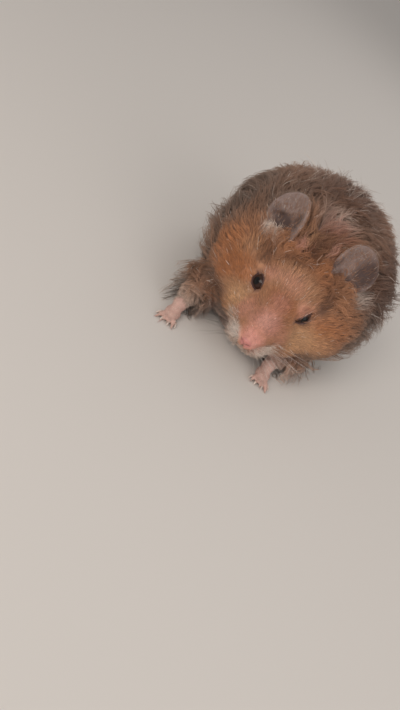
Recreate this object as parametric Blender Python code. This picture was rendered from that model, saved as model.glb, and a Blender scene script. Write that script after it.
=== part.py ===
"""Long-haired syrian hamster, life size, crouched on all fours with its head lowered.

The solids are the outer surface of the coat, and of the bare nose, ears, feet and tail.
Row frame: +Z up, the nose points along -Y, the hamster's left is +X, the floor is z = 0.
"""

import math

import bpy
import bmesh
from mathutils import Matrix, Vector

MM = 0.001
GAP = 0.3 * MM                      # between solids that meet
UP = Vector((0.0, 0.0, 1.0))
SIDES = {"left": 1, "right": -1}    # the hamster's own sides, as the sign of x

# ---- driving dimensions, in millimetres ----

# Trunk: centre (y, z) and half width, half length, half height of each rounded mass.
TRUNK_MASSES = {
    "rump": ((24.0, 31.0), (38.5, 29.5, 28.5)),
    "flank": ((20.0, 23.0), (41.5, 28.0, 19.5)),
    "loin": ((11.0, 31.5), (42.5, 27.0, 28.0)),
    "belly": ((8.0, 20.0), (42.5, 34.0, 16.5)),
    "shoulders": ((-8.0, 26.0), (40.0, 18.0, 19.0)),
    "chest": ((-13.0, 17.5), (38.0, 16.0, 12.5)),
}

# Head, in its own frame: origin at the nose tip, -Y forward, before it is nodded and turned.
HEAD_MASSES = {
    "cranium": ((35.0, 6.5), (19.0, 16.5, 13.5)),
    "face": ((22.5, 4.8), (10.8, 14.5, 9.4)),
    "muzzle": ((13.0, 1.4), (8.4, 11.2, 7.2)),
    "snout": ((6.2, -0.2), (5.4, 6.4, 4.8)),
    "chin": ((12.0, -6.2), (6.4, 8.4, 4.8)),
    "throat": ((26.0, -9.0), (17.0, 14.0, 9.0)),
}
CHEEK = ((15.5, 31.0, -1.5), (15.5, 13.5, 12.0))
JOWL = ((9.5, 21.5, -4.0), (10.5, 9.5, 8.0))
MAXILLA = ((5.6, 17.5, -0.2), (8.0, 10.0, 7.4))
TEMPLE = ((14.5, 34.0, 6.0), (12.5, 12.0, 10.0))
WHISKER_PAD = ((3.9, 7.8, -2.7), (4.5, 5.6, 3.7))
NOSE_PAD = ((0.0, 0.9, 0.3), (2.4, 1.7, 1.9))
NOSE_TIP = Vector((0.0, -51.0, 18.5))
HEAD_NOD = 7.0                      # degrees, nose down
HEAD_TURN = -1.0                    # degrees about +Z, towards the hamster's right

# The muzzle's drop: in front of the eyes everything is drawn back and down, the nose by this much, so that the
# profile is blunt. The way is given in the head's frame, and the drop fades out from one y to the other.
MUZZLE_DROP = {"amount": 3.6, "way": (0.0, 0.656, -0.755), "full": 3.0, "none": 21.0}

EYE_RADIUS = 3.3
EYE_CENTRE = (9.4, 21.8, 7.7)

EAR = {
    "height": 20.0,
    "width": 17.5,
    "cup": 4.6,                     # how far the side rims stand in front of the ear's middle
    "tip_cup": 1.6,
    "widest": -0.2,                 # where it is widest, from -1 at the foot to 1 at the tip
    "foot_width": 0.57,             # of the full width
    "top": 0.985,                   # stops just short of the very tip, so the top edge has a width
    "thickness": 1.3,
    "lean_back": 38.0,              # degrees from upright
}

# Each ear's foot for a positive x, in the head's frame, how far the ear leans away from the crown, and how far
# its hollow looks away from straight ahead. The left one is drawn in towards the crown.
EAR_POSES = {
    "left": {"root": (12.2, 38.5, 14.2), "lean_out": 8.0, "face_out": 14.0},
    "right": {"root": (13.8, 38.5, 14.0), "lean_out": 14.0, "face_out": 28.0},
}

EAR_SCOOP = ((0.0, -5.4, 10.2), (8.4, 5.8, 8.4))     # centre and half sizes, in the ear's frame

# Front legs: where each elbow and wrist stands, for a positive x, and how far the toes point outward.
SHOULDER = (17.0, -18.0, 20.0)
FORELEG_RADII = (11.5, 9.4, 5.4, 3.1)
FORELEG_FLOOR_GAP = 1.2             # between the forearm's fur and the floor
FRONT_PAWS = {
    "left": {"elbow": (20.5, -20.5, 12.0), "wrist": (14.0, -33.0, 4.4), "toe_angle": 5.0},
    "right": {"elbow": (25.5, -22.5, 11.5), "wrist": (27.6, -38.0, 4.2), "toe_angle": 2.0},
}
WRIST_CUT = 0.4                     # how far in front of the wrist the forearm ends
PALM = {"halves": (3.3, 3.9, 1.9), "from_wrist": 4.4, "height": 1.63, "to_knuckles": 1.6, "knuckle_height": 1.25}
FINGER = {
    "count": 4, "length": 5.4, "radii": (0.95, 0.9, 0.78), "spread": 17.0,
    "fan": 3.4, "arch": 0.35, "drop": 0.55, "shorter": 0.14, "claw": 2.2,
}

# Hind legs: the thigh bulges from the flank, and the long foot lies flat under it.
THIGH = ((26.5, 20.5, 19.5), (14.5, 18.0, 15.0))
KNEE_MASS = ((30.0, 8.0, 13.5), (10.5, 11.0, 9.0))
HIND_FOOT = {"heel": (26.0, 21.0, 2.43), "length": 15.5, "turn_out": 12.0, "halves": (3.7, 9.6, 2.7)}
HIND_KNUCKLES = {"back": 1.0, "height": 1.4}
ANKLE = {"height": 6.0, "forward": 2.0, "radii": (4.6, 3.0)}
TOE = {
    "count": 5, "length": 4.6, "radii": (1.0, 0.95, 0.82), "spread": 12.5,
    "fan": 3.4, "arch": 0.35, "drop": 0.6, "shorter": 0.14, "claw": 2.0,
}
CLAW = {"radii": (0.52, 0.3), "drop": 0.35}

TAIL = {"root": (0.0, 46.0, 14.0), "tip": (1.5, 56.5, 9.5), "radii": (2.6, 1.3)}

# Meshing: voxel size, smoothing passes and about how many triangles each node keeps.
BODY_MESH = {"voxel": 0.85, "smoothing": 9}
LIMB_MESH = {"voxel": 0.7, "smoothing": 8}
PAW_MESH = {"voxel": 0.3, "smoothing": 4}
EAR_MESH = {"steps": 16, "voxel": 0.45, "smoothing": 5}
TRUNK_SMOOTHING = {"passes": 80, "from": -30.0, "to": 0.0}   # grows along y, so the face stays crisp
TRIANGLES = {
    "trunk": 1560,
    "neck": 400,
    "head": 1600,
    "ear": 300,
    "foreleg": 260,
    "front_paw": 360,
    "thigh": 260,
    "hind_foot": 390,
    "tail": 90,
}

# Where the head, neck and trunk part: a point on the cut and how far it leans forward.
HEAD_CUT = {"point": (0.0, -13.5, 30.0), "lean": 24.0}
TRUNK_CUT = {"point": (0.0, -5.5, 30.0), "lean": 18.0}

# Colour and roughness of each finish.
FINISHES = {
    "coat": ((0.42, 0.20, 0.10), 0.85),
    "ear": ((0.30, 0.24, 0.22), 0.7),
    "skin": ((0.62, 0.33, 0.28), 0.6),
    "eye": ((0.01, 0.008, 0.008), 0.08),
}


def clearScene():
    for obj in list(bpy.data.objects):
        bpy.data.objects.remove(obj, do_unlink=True)


def material(name):
    colour, roughness = FINISHES[name]
    made = bpy.data.materials.get(name)
    if made is None:
        made = bpy.data.materials.new(name)
        made.use_nodes = True
        shader = made.node_tree.nodes["Principled BSDF"]
        shader.inputs["Base Color"].default_value = (*colour, 1.0)
        shader.inputs["Roughness"].default_value = roughness
    return made


# ---- clay: rounded masses that a voxel remesh joins ----

def addBall(bm, centre, halves, frame=Matrix.Identity(4), detail=4):
    """An ellipsoid in the given frame."""
    made = bmesh.ops.create_icosphere(bm, subdivisions=detail, radius=1.0)["verts"]
    size = Matrix.Diagonal((halves[0] * MM, halves[1] * MM, halves[2] * MM, 1.0))
    place = frame @ Matrix.Translation(Vector(centre) * MM) @ size
    bmesh.ops.transform(bm, matrix=place, verts=made)


def curvePoint(points, t):
    """A point on the smooth curve through the given points, t from 0 to 1."""
    spans = len(points) - 1
    i = min(int(t * spans), spans - 1)
    u = t * spans - i
    p0, p1, p2, p3 = (points[max(0, min(spans, i + k))] for k in (-1, 0, 1, 2))
    straight = 2 * p1 + (p2 - p0) * u
    return 0.5 * (straight + (2 * p0 - 5 * p1 + 4 * p2 - p3) * u * u + (3 * p1 - p0 - 3 * p2 + p3) * u ** 3)


def addLimb(bm, points, radii, balls=14):
    """A row of overlapping balls along a smooth curve, as thick as radii say."""
    points = [Vector(p) for p in points]
    spans = len(radii) - 1
    for k in range(balls + 1):
        t = k / balls
        i = min(int(t * spans), spans - 1)
        u = t * spans - i
        radius = radii[i] * (1 - u) + radii[i + 1] * u
        addBall(bm, curvePoint(points, t), (radius,) * 3, detail=2)


def addClaw(bm, root, tip):
    """A short tapered claw from root to tip."""
    root = root * MM
    tip = tip * MM
    along = tip - root
    made = bmesh.ops.create_cone(
        bm, cap_ends=True, segments=8, depth=along.length,
        radius1=CLAW["radii"][0] * MM, radius2=CLAW["radii"][1] * MM,
    )["verts"]
    turn = along.to_track_quat("Z", "Y").to_matrix().to_4x4()
    bmesh.ops.transform(bm, matrix=Matrix.Translation((root + tip) / 2) @ turn, verts=made)


def newObject(name, bm, finish="coat"):
    mesh = bpy.data.meshes.new(name)
    bm.to_mesh(mesh)
    bm.free()
    obj = bpy.data.objects.new(name, mesh)
    bpy.context.scene.collection.objects.link(obj)
    mesh.materials.append(material(finish))
    return obj


def bake(obj):
    """Replaces the object's mesh by what its modifiers make, and removes them."""
    bpy.context.view_layer.update()
    graph = bpy.context.evaluated_depsgraph_get()
    mesh = bpy.data.meshes.new_from_object(obj.evaluated_get(graph))
    finish = obj.data.materials[0]
    obj.modifiers.clear()
    obj.data = mesh
    mesh.materials.clear()
    mesh.materials.append(finish)
    return obj


def fuse(name, bm, settings, finish="coat"):
    """One smooth closed surface round all the masses in bm."""
    obj = newObject(name, bm, finish)
    remesh = obj.modifiers.new("Fuse", "REMESH")
    remesh.mode = "VOXEL"
    remesh.voxel_size = settings["voxel"] * MM
    smooth = obj.modifiers.new("Blend", "SMOOTH")
    smooth.factor = 0.5
    smooth.iterations = settings["smoothing"]
    return bake(obj)


def smoothTowardsRump(obj):
    """More smoothing passes the further back a point lies."""
    bm = bmesh.new()
    bm.from_mesh(obj.data)
    start = TRUNK_SMOOTHING["from"] * MM
    span = (TRUNK_SMOOTHING["to"] - TRUNK_SMOOTHING["from"]) * MM
    for step in range(TRUNK_SMOOTHING["passes"]):
        limit = start + span * step / TRUNK_SMOOTHING["passes"]
        chosen = [v for v in bm.verts if v.co.y > limit]
        bmesh.ops.smooth_vert(bm, verts=chosen, factor=0.5, use_axis_x=True, use_axis_y=True, use_axis_z=True)
    bm.to_mesh(obj.data)
    bm.free()


def thin(obj, triangles):
    """Fewer triangles, with the same shape."""
    obj.data.calc_loop_triangles()
    decimate = obj.modifiers.new("Thin", "DECIMATE")
    decimate.ratio = min(1.0, triangles / len(obj.data.loop_triangles))
    decimate.use_collapse_triangulate = True
    return bake(obj)


def copyOf(obj, name):
    twin = obj.copy()
    twin.data = obj.data.copy()
    twin.name = name
    bpy.context.scene.collection.objects.link(twin)
    return twin


def carve(obj, cutter, by=GAP):
    """Cuts the solid cutter, grown by a gap, out of obj."""
    tool = copyOf(cutter, cutter.name + "_cutter")
    grow = tool.modifiers.new("Grow", "DISPLACE")
    grow.strength = by
    grow.mid_level = 0.0
    bake(tool)
    cut = obj.modifiers.new("Carve", "BOOLEAN")
    cut.operation = "DIFFERENCE"
    cut.solver = "EXACT"
    cut.object = tool
    bake(obj)
    bpy.data.objects.remove(tool, do_unlink=True)
    return largestPiece(obj)


def largestPiece(obj):
    """Drops the loose crumbs that a cut may leave."""
    bm = bmesh.new()
    bm.from_mesh(obj.data)
    unseen = set(bm.faces)
    pieces = []
    while unseen:
        todo = [unseen.pop()]
        piece = []
        while todo:
            face = todo.pop()
            piece.append(face)
            found = {other for edge in face.edges for other in edge.link_faces} & unseen
            unseen -= found
            todo += found
        pieces.append(piece)
    pieces.sort(key=len)
    crumbs = [face for piece in pieces[:-1] for face in piece]
    bmesh.ops.delete(bm, geom=crumbs, context="FACES")
    bm.to_mesh(obj.data)
    bm.free()
    return obj


def keepBehind(obj, point, normal):
    """Cuts off what the plane's normal points at, and closes the cut."""
    bm = bmesh.new()
    bm.from_mesh(obj.data)
    everything = bm.verts[:] + bm.edges[:] + bm.faces[:]
    bmesh.ops.bisect_plane(bm, geom=everything, plane_co=point, plane_no=normal, clear_outer=True, dist=1e-7)
    rim = [edge for edge in bm.edges if edge.is_boundary]
    bmesh.ops.holes_fill(bm, edges=rim, sides=0)
    bmesh.ops.triangulate(bm, faces=[face for face in bm.faces if len(face.verts) > 3])
    bm.to_mesh(obj.data)
    bm.free()
    return obj


def split(obj, frontName, backName, point, normal):
    """Parts obj by a thin cut. The back half is the one that the normal points at."""
    normal = Vector(normal).normalized()
    point = Vector(point) * MM
    back = copyOf(obj, backName)
    obj.name = frontName
    keepBehind(obj, point - normal * GAP / 2, normal)
    keepBehind(back, point + normal * GAP / 2, -normal)
    return obj, back


def leaning(degrees):
    """A normal that points back along +Y, and up by so many degrees."""
    angle = math.radians(degrees)
    return Vector((0.0, math.cos(angle), math.sin(angle)))


# ---- the animal ----

def headFrame():
    """From the head's own frame, nose tip at its origin, to the row frame."""
    turn = Matrix.Rotation(math.radians(HEAD_TURN), 4, "Z")
    nod = Matrix.Rotation(math.radians(HEAD_NOD), 4, "X")
    return Matrix.Translation(NOSE_TIP * MM) @ turn @ nod


def dropMuzzle(obj):
    """Draws the muzzle back and down, the more so the nearer it is to the nose."""
    frame = headFrame()
    back = frame.inverted()
    way = Vector(MUZZLE_DROP["way"]) * MUZZLE_DROP["amount"] * MM
    full, none = MUZZLE_DROP["full"] * MM, MUZZLE_DROP["none"] * MM
    for vertex in obj.data.vertices:
        place = back @ vertex.co
        t = min(max((place.y - full) / (none - full), 0.0), 1.0)
        vertex.co = frame @ (place + way * (1.0 - t * t * (3.0 - 2.0 * t)))
    obj.data.update()


def buildBody():
    """Head, neck and trunk, modelled as one smooth mass and parted by two thin cuts."""
    bm = bmesh.new()
    for (y, z), halves in TRUNK_MASSES.values():
        addBall(bm, (0.0, y, z), halves)
    frame = headFrame()
    for (y, z), halves in HEAD_MASSES.values():
        addBall(bm, (0.0, y, z), halves, frame)
    for side in SIDES.values():
        for (x, y, z), halves in (CHEEK, JOWL, MAXILLA, TEMPLE, WHISKER_PAD):
            addBall(bm, (x * side, y, z), halves, frame)
    addBall(bm, NOSE_PAD[0], NOSE_PAD[1], frame)
    body = fuse("body", bm, BODY_MESH)
    smoothTowardsRump(body)
    dropMuzzle(body)
    head, rest = split(body, "head", "rest", HEAD_CUT["point"], leaning(-HEAD_CUT["lean"]))
    neck, trunk = split(rest, "neck", "trunk", TRUNK_CUT["point"], leaning(-TRUNK_CUT["lean"]))
    return thin(head, TRIANGLES["head"]), thin(neck, TRIANGLES["neck"]), thin(trunk, TRIANGLES["trunk"])


def buildEye(name, side):
    """A whole eyeball, set in the head by its socket."""
    bm = bmesh.new()
    x, y, z = EYE_CENTRE
    addBall(bm, (x * side, y, z), (EYE_RADIUS,) * 3, headFrame(), detail=3)
    return newObject("eye_" + name, bm, "eye")


def earFrame(name, side):
    """From an ear's own frame, foot at its origin and hollow towards -Y, to the row frame."""
    pose = EAR_POSES[name]
    turn = (
        Matrix.Rotation(math.radians(pose["lean_out"] * side), 4, "Y")
        @ Matrix.Rotation(math.radians(-EAR["lean_back"]), 4, "X")
        @ Matrix.Rotation(math.radians(pose["face_out"] * side), 4, "Z")
    )
    x, y, z = pose["root"]
    return headFrame() @ Matrix.Translation(Vector((x * side, y, z)) * MM) @ turn


def scoopEar(name, side, around):
    """Hollows the coat in front of the ear, so that the ear's inside lies open."""
    bm = bmesh.new()
    addBall(bm, EAR_SCOOP[0], EAR_SCOOP[1], earFrame(name, side), detail=2)
    scoop = newObject("scoop", bm)
    for obj in around:
        carve(obj, scoop, by=0.0)
    bpy.data.objects.remove(scoop, do_unlink=True)


def earSurface(u, v):
    """A point of the ear's middle sheet: u runs across it and v up it, each from -1 to 1."""
    if v > EAR["widest"]:
        reach = math.sqrt(1 - v * v)
    else:
        reach = 1 - (1 - EAR["foot_width"]) * (EAR["widest"] - v) / (1 + EAR["widest"])
    across = u * reach
    forward = EAR["cup"] * across ** 2 + EAR["tip_cup"] * max(0.0, v) ** 2
    return Vector((across * EAR["width"] / 2, -forward, (1 + v) * EAR["height"] / 2))


def buildEar(name, side):
    """A cupped round ear on a narrower foot, hollow side forward and outward."""
    bm = bmesh.new()
    steps = range(EAR_MESH["steps"] + 1)
    spread = [2 * k / EAR_MESH["steps"] - 1 for k in steps]
    rows = [[bm.verts.new(earSurface(u, v * EAR["top"]) * MM) for u in spread] for v in spread]
    for lower, upper in zip(rows, rows[1:]):
        for k in steps[1:]:
            bm.faces.new((lower[k - 1], lower[k], upper[k], upper[k - 1]))
    bmesh.ops.transform(bm, matrix=earFrame(name, side), verts=bm.verts[:])
    ear = newObject("ear_" + name, bm, "ear")
    thick = ear.modifiers.new("Thick", "SOLIDIFY")
    thick.thickness = EAR["thickness"] * MM
    thick.offset = 0.0
    remesh = ear.modifiers.new("Round", "REMESH")
    remesh.mode = "VOXEL"
    remesh.voxel_size = EAR_MESH["voxel"] * MM
    smooth = ear.modifiers.new("Blend", "SMOOTH")
    smooth.iterations = EAR_MESH["smoothing"]
    return thin(bake(ear), TRIANGLES["ear"])


def heading(degrees, side):
    """The level direction that a foot points in, so many degrees outward from straight ahead."""
    angle = math.radians(degrees) * side
    return Vector((math.sin(angle), -math.cos(angle), 0.0))


def facing(point, forward):
    """A frame at the point, in metres, whose -Y looks forward."""
    turn = Vector((0.0, -1.0, 0.0)).rotation_difference(forward).to_matrix().to_4x4()
    return Matrix.Translation(point * MM) @ turn


def addDigits(bm, knuckles, forward, digit):
    """Spread toes with claws, fanned out round the knuckles."""
    middle = (digit["count"] - 1) / 2
    for k in range(digit["count"]):
        reach = Matrix.Rotation(math.radians((k - middle) * digit["spread"]), 3, "Z") @ forward
        length = digit["length"] * (1 - digit["shorter"] * abs(k - middle))
        start = knuckles + reach + (reach - forward) * digit["fan"]
        joint = start + reach * length / 2 + UP * digit["arch"]
        end = start + reach * length - UP * digit["drop"]
        addLimb(bm, (start, joint, end), digit["radii"], balls=9)
        addClaw(bm, end, end + reach * digit["claw"] - UP * CLAW["drop"])


def standFlat(obj, height=0.0):
    """Cuts off what lies lower than the given height."""
    return keepBehind(obj, UP * height * MM, -UP)


def buildForeleg(name, side):
    """Shoulder, elbow and forearm in their fur, as far as the wrist."""
    pose = FRONT_PAWS[name]
    points = [Vector((x * side, y, z)) for x, y, z in (SHOULDER, pose["elbow"], pose["wrist"])]
    bm = bmesh.new()
    addLimb(bm, points, FORELEG_RADII, balls=24)
    leg = thin(fuse("leg_front_" + name, bm, LIMB_MESH), TRIANGLES["foreleg"])
    forward = heading(pose["toe_angle"], side)
    keepBehind(leg, (points[2] + forward * WRIST_CUT) * MM, forward)
    return standFlat(leg, FORELEG_FLOOR_GAP)


def buildFrontPaw(name, side):
    """The hand, flat on the floor: palm, four fingers and their claws."""
    pose = FRONT_PAWS[name]
    x, y, z = pose["wrist"]
    forward = heading(pose["toe_angle"], side)
    wrist = Vector((x * side, y, z)) + forward * (WRIST_CUT + GAP / MM)
    palm = Vector((x * side, y, 0.0)) + forward * PALM["from_wrist"] + UP * PALM["height"]
    knuckles = Vector((palm.x, palm.y, 0.0)) + forward * PALM["to_knuckles"] + UP * PALM["knuckle_height"]
    bm = bmesh.new()
    addBall(bm, (0.0, 0.0, 0.0), PALM["halves"], facing(palm, forward), detail=3)
    addLimb(bm, (wrist, palm), (FORELEG_RADII[-1], PALM["halves"][2]), balls=6)
    addDigits(bm, knuckles, forward, FINGER)
    paw = thin(fuse("paw_front_" + name, bm, PAW_MESH, "skin"), TRIANGLES["front_paw"])
    keepBehind(paw, wrist * MM, -forward)
    return standFlat(paw)


def buildThigh(name, side):
    """Thigh and knee in the flank's fur, down to the ankle."""
    bm = bmesh.new()
    for (x, y, z), halves in (THIGH, KNEE_MASS):
        addBall(bm, (x * side, y, z), halves)
    leg = thin(fuse("leg_hind_" + name, bm, BODY_MESH), TRIANGLES["thigh"])
    return standFlat(leg, ANKLE["height"] + GAP / MM)


def buildHindFoot(name, side):
    """The long foot, flat on the floor from heel to toes."""
    forward = heading(HIND_FOOT["turn_out"], side)
    x, y, z = HIND_FOOT["heel"]
    heel = Vector((x * side, y, z))
    ball = heel + forward * HIND_FOOT["length"]
    knuckles = Vector((ball.x, ball.y, 0.0)) - forward * HIND_KNUCKLES["back"] + UP * HIND_KNUCKLES["height"]
    instep = heel + forward * ANKLE["forward"]
    ankle = Vector((instep.x, instep.y, ANKLE["height"] + ANKLE["forward"]))
    bm = bmesh.new()
    addBall(bm, (0.0, 0.0, 0.0), HIND_FOOT["halves"], facing((heel + ball) / 2, forward), detail=3)
    addLimb(bm, (ankle, instep), ANKLE["radii"], balls=6)
    addDigits(bm, knuckles, forward, TOE)
    foot = thin(fuse("foot_hind_" + name, bm, PAW_MESH, "skin"), TRIANGLES["hind_foot"])
    keepBehind(foot, UP * ANKLE["height"] * MM, UP)
    return standFlat(foot)


def buildTail():
    """The short bare tip that shows under the rump."""
    tail = bmesh.new()
    addLimb(tail, (TAIL["root"], TAIL["tip"]), TAIL["radii"], balls=10)
    return thin(fuse("tail", tail, LIMB_MESH, "skin"), TRIANGLES["tail"])


def standOnOrigin(objects):
    """Moves everything so that the origin is the middle of the box's bottom."""
    corners = [vertex.co for obj in objects for vertex in obj.data.vertices]
    low = Vector(min(c[i] for c in corners) for i in range(3))
    high = Vector(max(c[i] for c in corners) for i in range(3))
    shift = Vector((-(low.x + high.x) / 2, -(low.y + high.y) / 2, -low.z))
    for obj in objects:
        obj.data.transform(Matrix.Translation(shift))
        obj.data.update()


def buildHamster():
    clearScene()
    head, neck, trunk = buildBody()
    nodes = [head, neck, trunk]
    for name, side in SIDES.items():
        thigh = buildThigh(name, side)
        foot = buildHindFoot(name, side)
        for limb in (thigh, foot):
            carve(trunk, limb)
        foreleg = buildForeleg(name, side)
        for upper in (trunk, neck, head):
            carve(foreleg, upper)
        ear = buildEar(name, side)
        scoopEar(name, side, (head, neck))
        for around in (head, neck):
            carve(around, ear)
        eye = buildEye(name, side)
        carve(head, eye)
        nodes += [thigh, foot, foreleg, buildFrontPaw(name, side), ear, eye]
    nodes.append(carve(buildTail(), trunk))
    standOnOrigin(nodes)
    print("nodes:", ", ".join(sorted(node.name for node in nodes)))


buildHamster()
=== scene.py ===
import math

import bmesh
import bpy
import numpy as np
from mathutils import Matrix, Vector
from mathutils.bvhtree import BVHTree


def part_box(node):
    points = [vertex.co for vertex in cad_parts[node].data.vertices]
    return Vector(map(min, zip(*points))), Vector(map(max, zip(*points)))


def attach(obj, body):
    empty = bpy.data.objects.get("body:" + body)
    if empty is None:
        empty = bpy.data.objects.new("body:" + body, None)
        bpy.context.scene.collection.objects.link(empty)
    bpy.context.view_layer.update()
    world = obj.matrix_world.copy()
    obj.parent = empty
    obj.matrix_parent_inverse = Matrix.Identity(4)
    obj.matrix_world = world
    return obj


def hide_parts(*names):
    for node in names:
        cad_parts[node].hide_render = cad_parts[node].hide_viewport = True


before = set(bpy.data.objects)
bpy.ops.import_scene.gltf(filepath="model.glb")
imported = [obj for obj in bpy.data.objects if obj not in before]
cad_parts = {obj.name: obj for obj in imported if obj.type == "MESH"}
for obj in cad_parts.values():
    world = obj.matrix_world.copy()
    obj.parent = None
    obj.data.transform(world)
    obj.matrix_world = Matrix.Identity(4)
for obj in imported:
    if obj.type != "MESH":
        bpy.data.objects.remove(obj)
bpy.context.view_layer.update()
mm = 0.001
up = Vector((0, 0, 1))
sides = {"left": 1, "right": -1}  # the hamster's own sides, as the sign of x


def fetched(items, key, width, kind=np.float32):  # a row of numbers for each item
    numbers = np.empty(len(items) * width, kind)
    items.foreach_get(key, numbers)
    return numbers.reshape(-1, width)


def readPoints(mesh):
    return fetched(mesh.vertices, "co", 3).astype(float)


def readNormals(mesh):
    return fetched(mesh.vertex_normals, "vector", 3).astype(float)


def edgePairs(mesh):
    return fetched(mesh.edges, "vertices", 2, np.int32)


def writePoints(mesh, points):
    mesh.vertices.foreach_set("co", points.astype(np.float32).ravel())
    mesh.update()


def writeValues(mesh, name, parts):  # three numbers for each point
    layer = mesh.attributes.new(name, "FLOAT_VECTOR", "POINT")
    layer.data.foreach_set("vector", np.stack(parts, axis=1).astype(np.float32).ravel())


def unit(vectors):
    length = np.linalg.norm(vectors, axis=-1, keepdims=True)
    return vectors / np.maximum(length, 1e-12)


def ease(value, start, stop):  # smooth step, 0 at start and 1 at stop
    t = np.clip((value - start) / (stop - start), 0, 1)
    return t * t * (3 - 2 * t)


def apart(points, centre, radii=1.0):  # the distance from the centre, in radii
    return np.linalg.norm((points - np.array(centre)) / np.array(radii), axis=1)


def howFar(tree, points):  # the distance from each point to the nearest face
    return np.array([tree.find_nearest(point)[3] for point in points.tolist()])


def near(points, centre, reach):
    return apart(points, centre) < reach * mm


def patchesOver(points, patches, inner, outer):  # each patch: its middle, radii and strength
    best = np.zeros(len(points))
    for centre, radii, strength in patches:
        best = np.maximum(best, strength * (1 - ease(apart(points, centre, radii), inner, outer)))
    return best


def mirrored(points):  # both sides as the left one
    return np.abs(points) * (1, 0, 0) + points * (0, 1, 1)


def middle(name):
    low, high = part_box(name)
    return (low + high) / 2


# The head's own frame: origin just before the nose, y towards the crown, z up, in millimetres.
# The muzzle is drawn back and down out of it, the nose by the full drop.
headPose = {"nod": 7.0, "turn": -1.0}
muzzleDrop = {"by": (0.0, 2.362, -2.718), "full": 3.0, "none": 21.0, "rounds": 6}
headTurn = Matrix.Rotation(math.radians(headPose["turn"]), 3, "Z")
headTurn = headTurn @ Matrix.Rotation(math.radians(headPose["nod"]), 3, "X")
headAxes = np.array(headTurn)  # columns are the head's x, y and z
headPoints = readPoints(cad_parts["head"].data)
headOrigin = headPoints[headPoints[:, 1].argmin()] - headAxes @ np.array(muzzleDrop["by"]) * mm


def dropAt(y):
    share = 1 - ease(np.asarray(y, float), muzzleDrop["full"], muzzleDrop["none"])
    return share[..., None] * np.array(muzzleDrop["by"])


def toHead(points):
    dropped = (points - headOrigin) @ headAxes / mm
    head = dropped
    for _ in range(muzzleDrop["rounds"]):
        head = dropped - dropAt(head[..., 1])
    return head


def fromHead(place):
    place = np.asarray(place, float)
    return headOrigin + (place + dropAt(place[..., 1])) @ headAxes.T * mm


def newPiece(name, bm):
    mesh = bpy.data.meshes.new(name)
    bm.to_mesh(mesh)
    bm.free()
    return placed(name, mesh)


def placed(name, data):
    piece = bpy.data.objects.new(name, data)
    bpy.context.scene.collection.objects.link(piece)
    return piece


def smoothShaded(piece):
    piece.data.polygons.foreach_set("use_smooth", [True] * len(piece.data.polygons))
    return piece


def applied(piece):  # the mesh that the modifiers make, with none left
    bpy.context.view_layer.update()
    graph = bpy.context.evaluated_depsgraph_get()
    mesh = bpy.data.meshes.new_from_object(piece.evaluated_get(graph))
    piece.modifiers.clear()
    piece.data = mesh
    return piece


def finishNamed(name, values):  # the values sit on the shader's own sockets
    made = bpy.data.materials.new(name)
    made.use_nodes = True
    shader = made.node_tree.nodes["Principled BSDF"]
    for socket, value in values.items():
        shader.inputs[socket].default_value = value
    return made, made.node_tree, shader


def shown(piece, finish, slot, *replaced):  # gives a piece its finish and its place on the model
    piece.data.materials.append(finish)
    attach(piece, "root")
    if replaced:
        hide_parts(*replaced)


cameraSpec = {
    "azimuth": -3.0, "elevation": 42.0, "roll": 41.0, "lens": 28.39,
    "distance": 0.196,  # from the head's origin
    "right": 0.01574, "up": 0.00377,  # where that origin stands in the view, at that distance
}
lightAim = Vector((0, -0.02, 0.025))
lightSpec = {
    "key": {"from": (-0.25, -0.42, 0.42), "size": 0.34, "power": 1.40, "colour": (1.0, 0.94, 0.88)},
    "fill": {"from": (0.40, -0.22, 0.26), "size": 0.40, "power": 0.52, "colour": (1.0, 0.96, 0.93)},
    "glint": {"from": (0.02, -0.40, 0.36), "size": 0.035, "power": 0.14, "colour": (1.0, 0.98, 0.96)},
    "rim": {"from": (0.10, 0.42, 0.40), "size": 0.30, "power": 0.40, "colour": (1.0, 0.97, 0.95)},
}
worldSpec = {"colour": (0.82, 0.80, 0.79), "strength": 0.50}
floorSpec = {"size": 3.0, "Base Color": (0.66, 0.62, 0.58, 1), "Roughness": 0.85}


def makeCamera():
    spec = cameraSpec
    azimuth = math.radians(spec["azimuth"])
    elevation = math.radians(spec["elevation"])
    away = Vector((math.sin(azimuth) * math.cos(elevation), -math.cos(azimuth) * math.cos(elevation),
                   math.sin(elevation)))
    turn = away.to_track_quat("Z", "Y").to_matrix() @ Matrix.Rotation(math.radians(spec["roll"]), 3, "Z")
    place = Vector(headOrigin) - turn @ Vector((spec["right"], spec["up"], -spec["distance"]))
    camera = placed("camera", bpy.data.cameras.new("camera"))
    camera.data.sensor_width = 36.0
    camera.data.lens = spec["lens"]
    camera.data.clip_start = 0.01
    camera.matrix_world = Matrix.Translation(place) @ turn.to_4x4()
    bpy.context.scene.camera = camera


def makeLights():
    for name, spec in lightSpec.items():
        lamp = bpy.data.lights.new(name, "AREA")
        lamp.size = spec["size"]
        lamp.energy = spec["power"]
        lamp.color = spec["colour"]
        holder = placed(name, lamp)
        holder.location = spec["from"]
        holder.rotation_euler = (Vector(spec["from"]) - lightAim).to_track_quat("Z", "Y").to_euler()
    world = bpy.data.worlds.new("studio")
    world.use_nodes = True
    background = world.node_tree.nodes["Background"]
    background.inputs["Color"].default_value = (*worldSpec["colour"], 1)
    background.inputs["Strength"].default_value = worldSpec["strength"]
    bpy.context.scene.world = world
    bpy.context.scene.view_settings.view_transform = "Standard"


def makeFloor():
    bm = bmesh.new()
    bmesh.ops.create_grid(bm, x_segments=1, y_segments=1, size=floorSpec["size"] / 2)
    floor = newPiece("floor", bm)
    finish = {key: floorSpec[key] for key in ("Base Color", "Roughness")}
    floor.data.materials.append(finishNamed("paleFloor", finish)[0])


print("camera, lights and floor")
makeCamera()
makeLights()
makeFloor()

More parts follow.
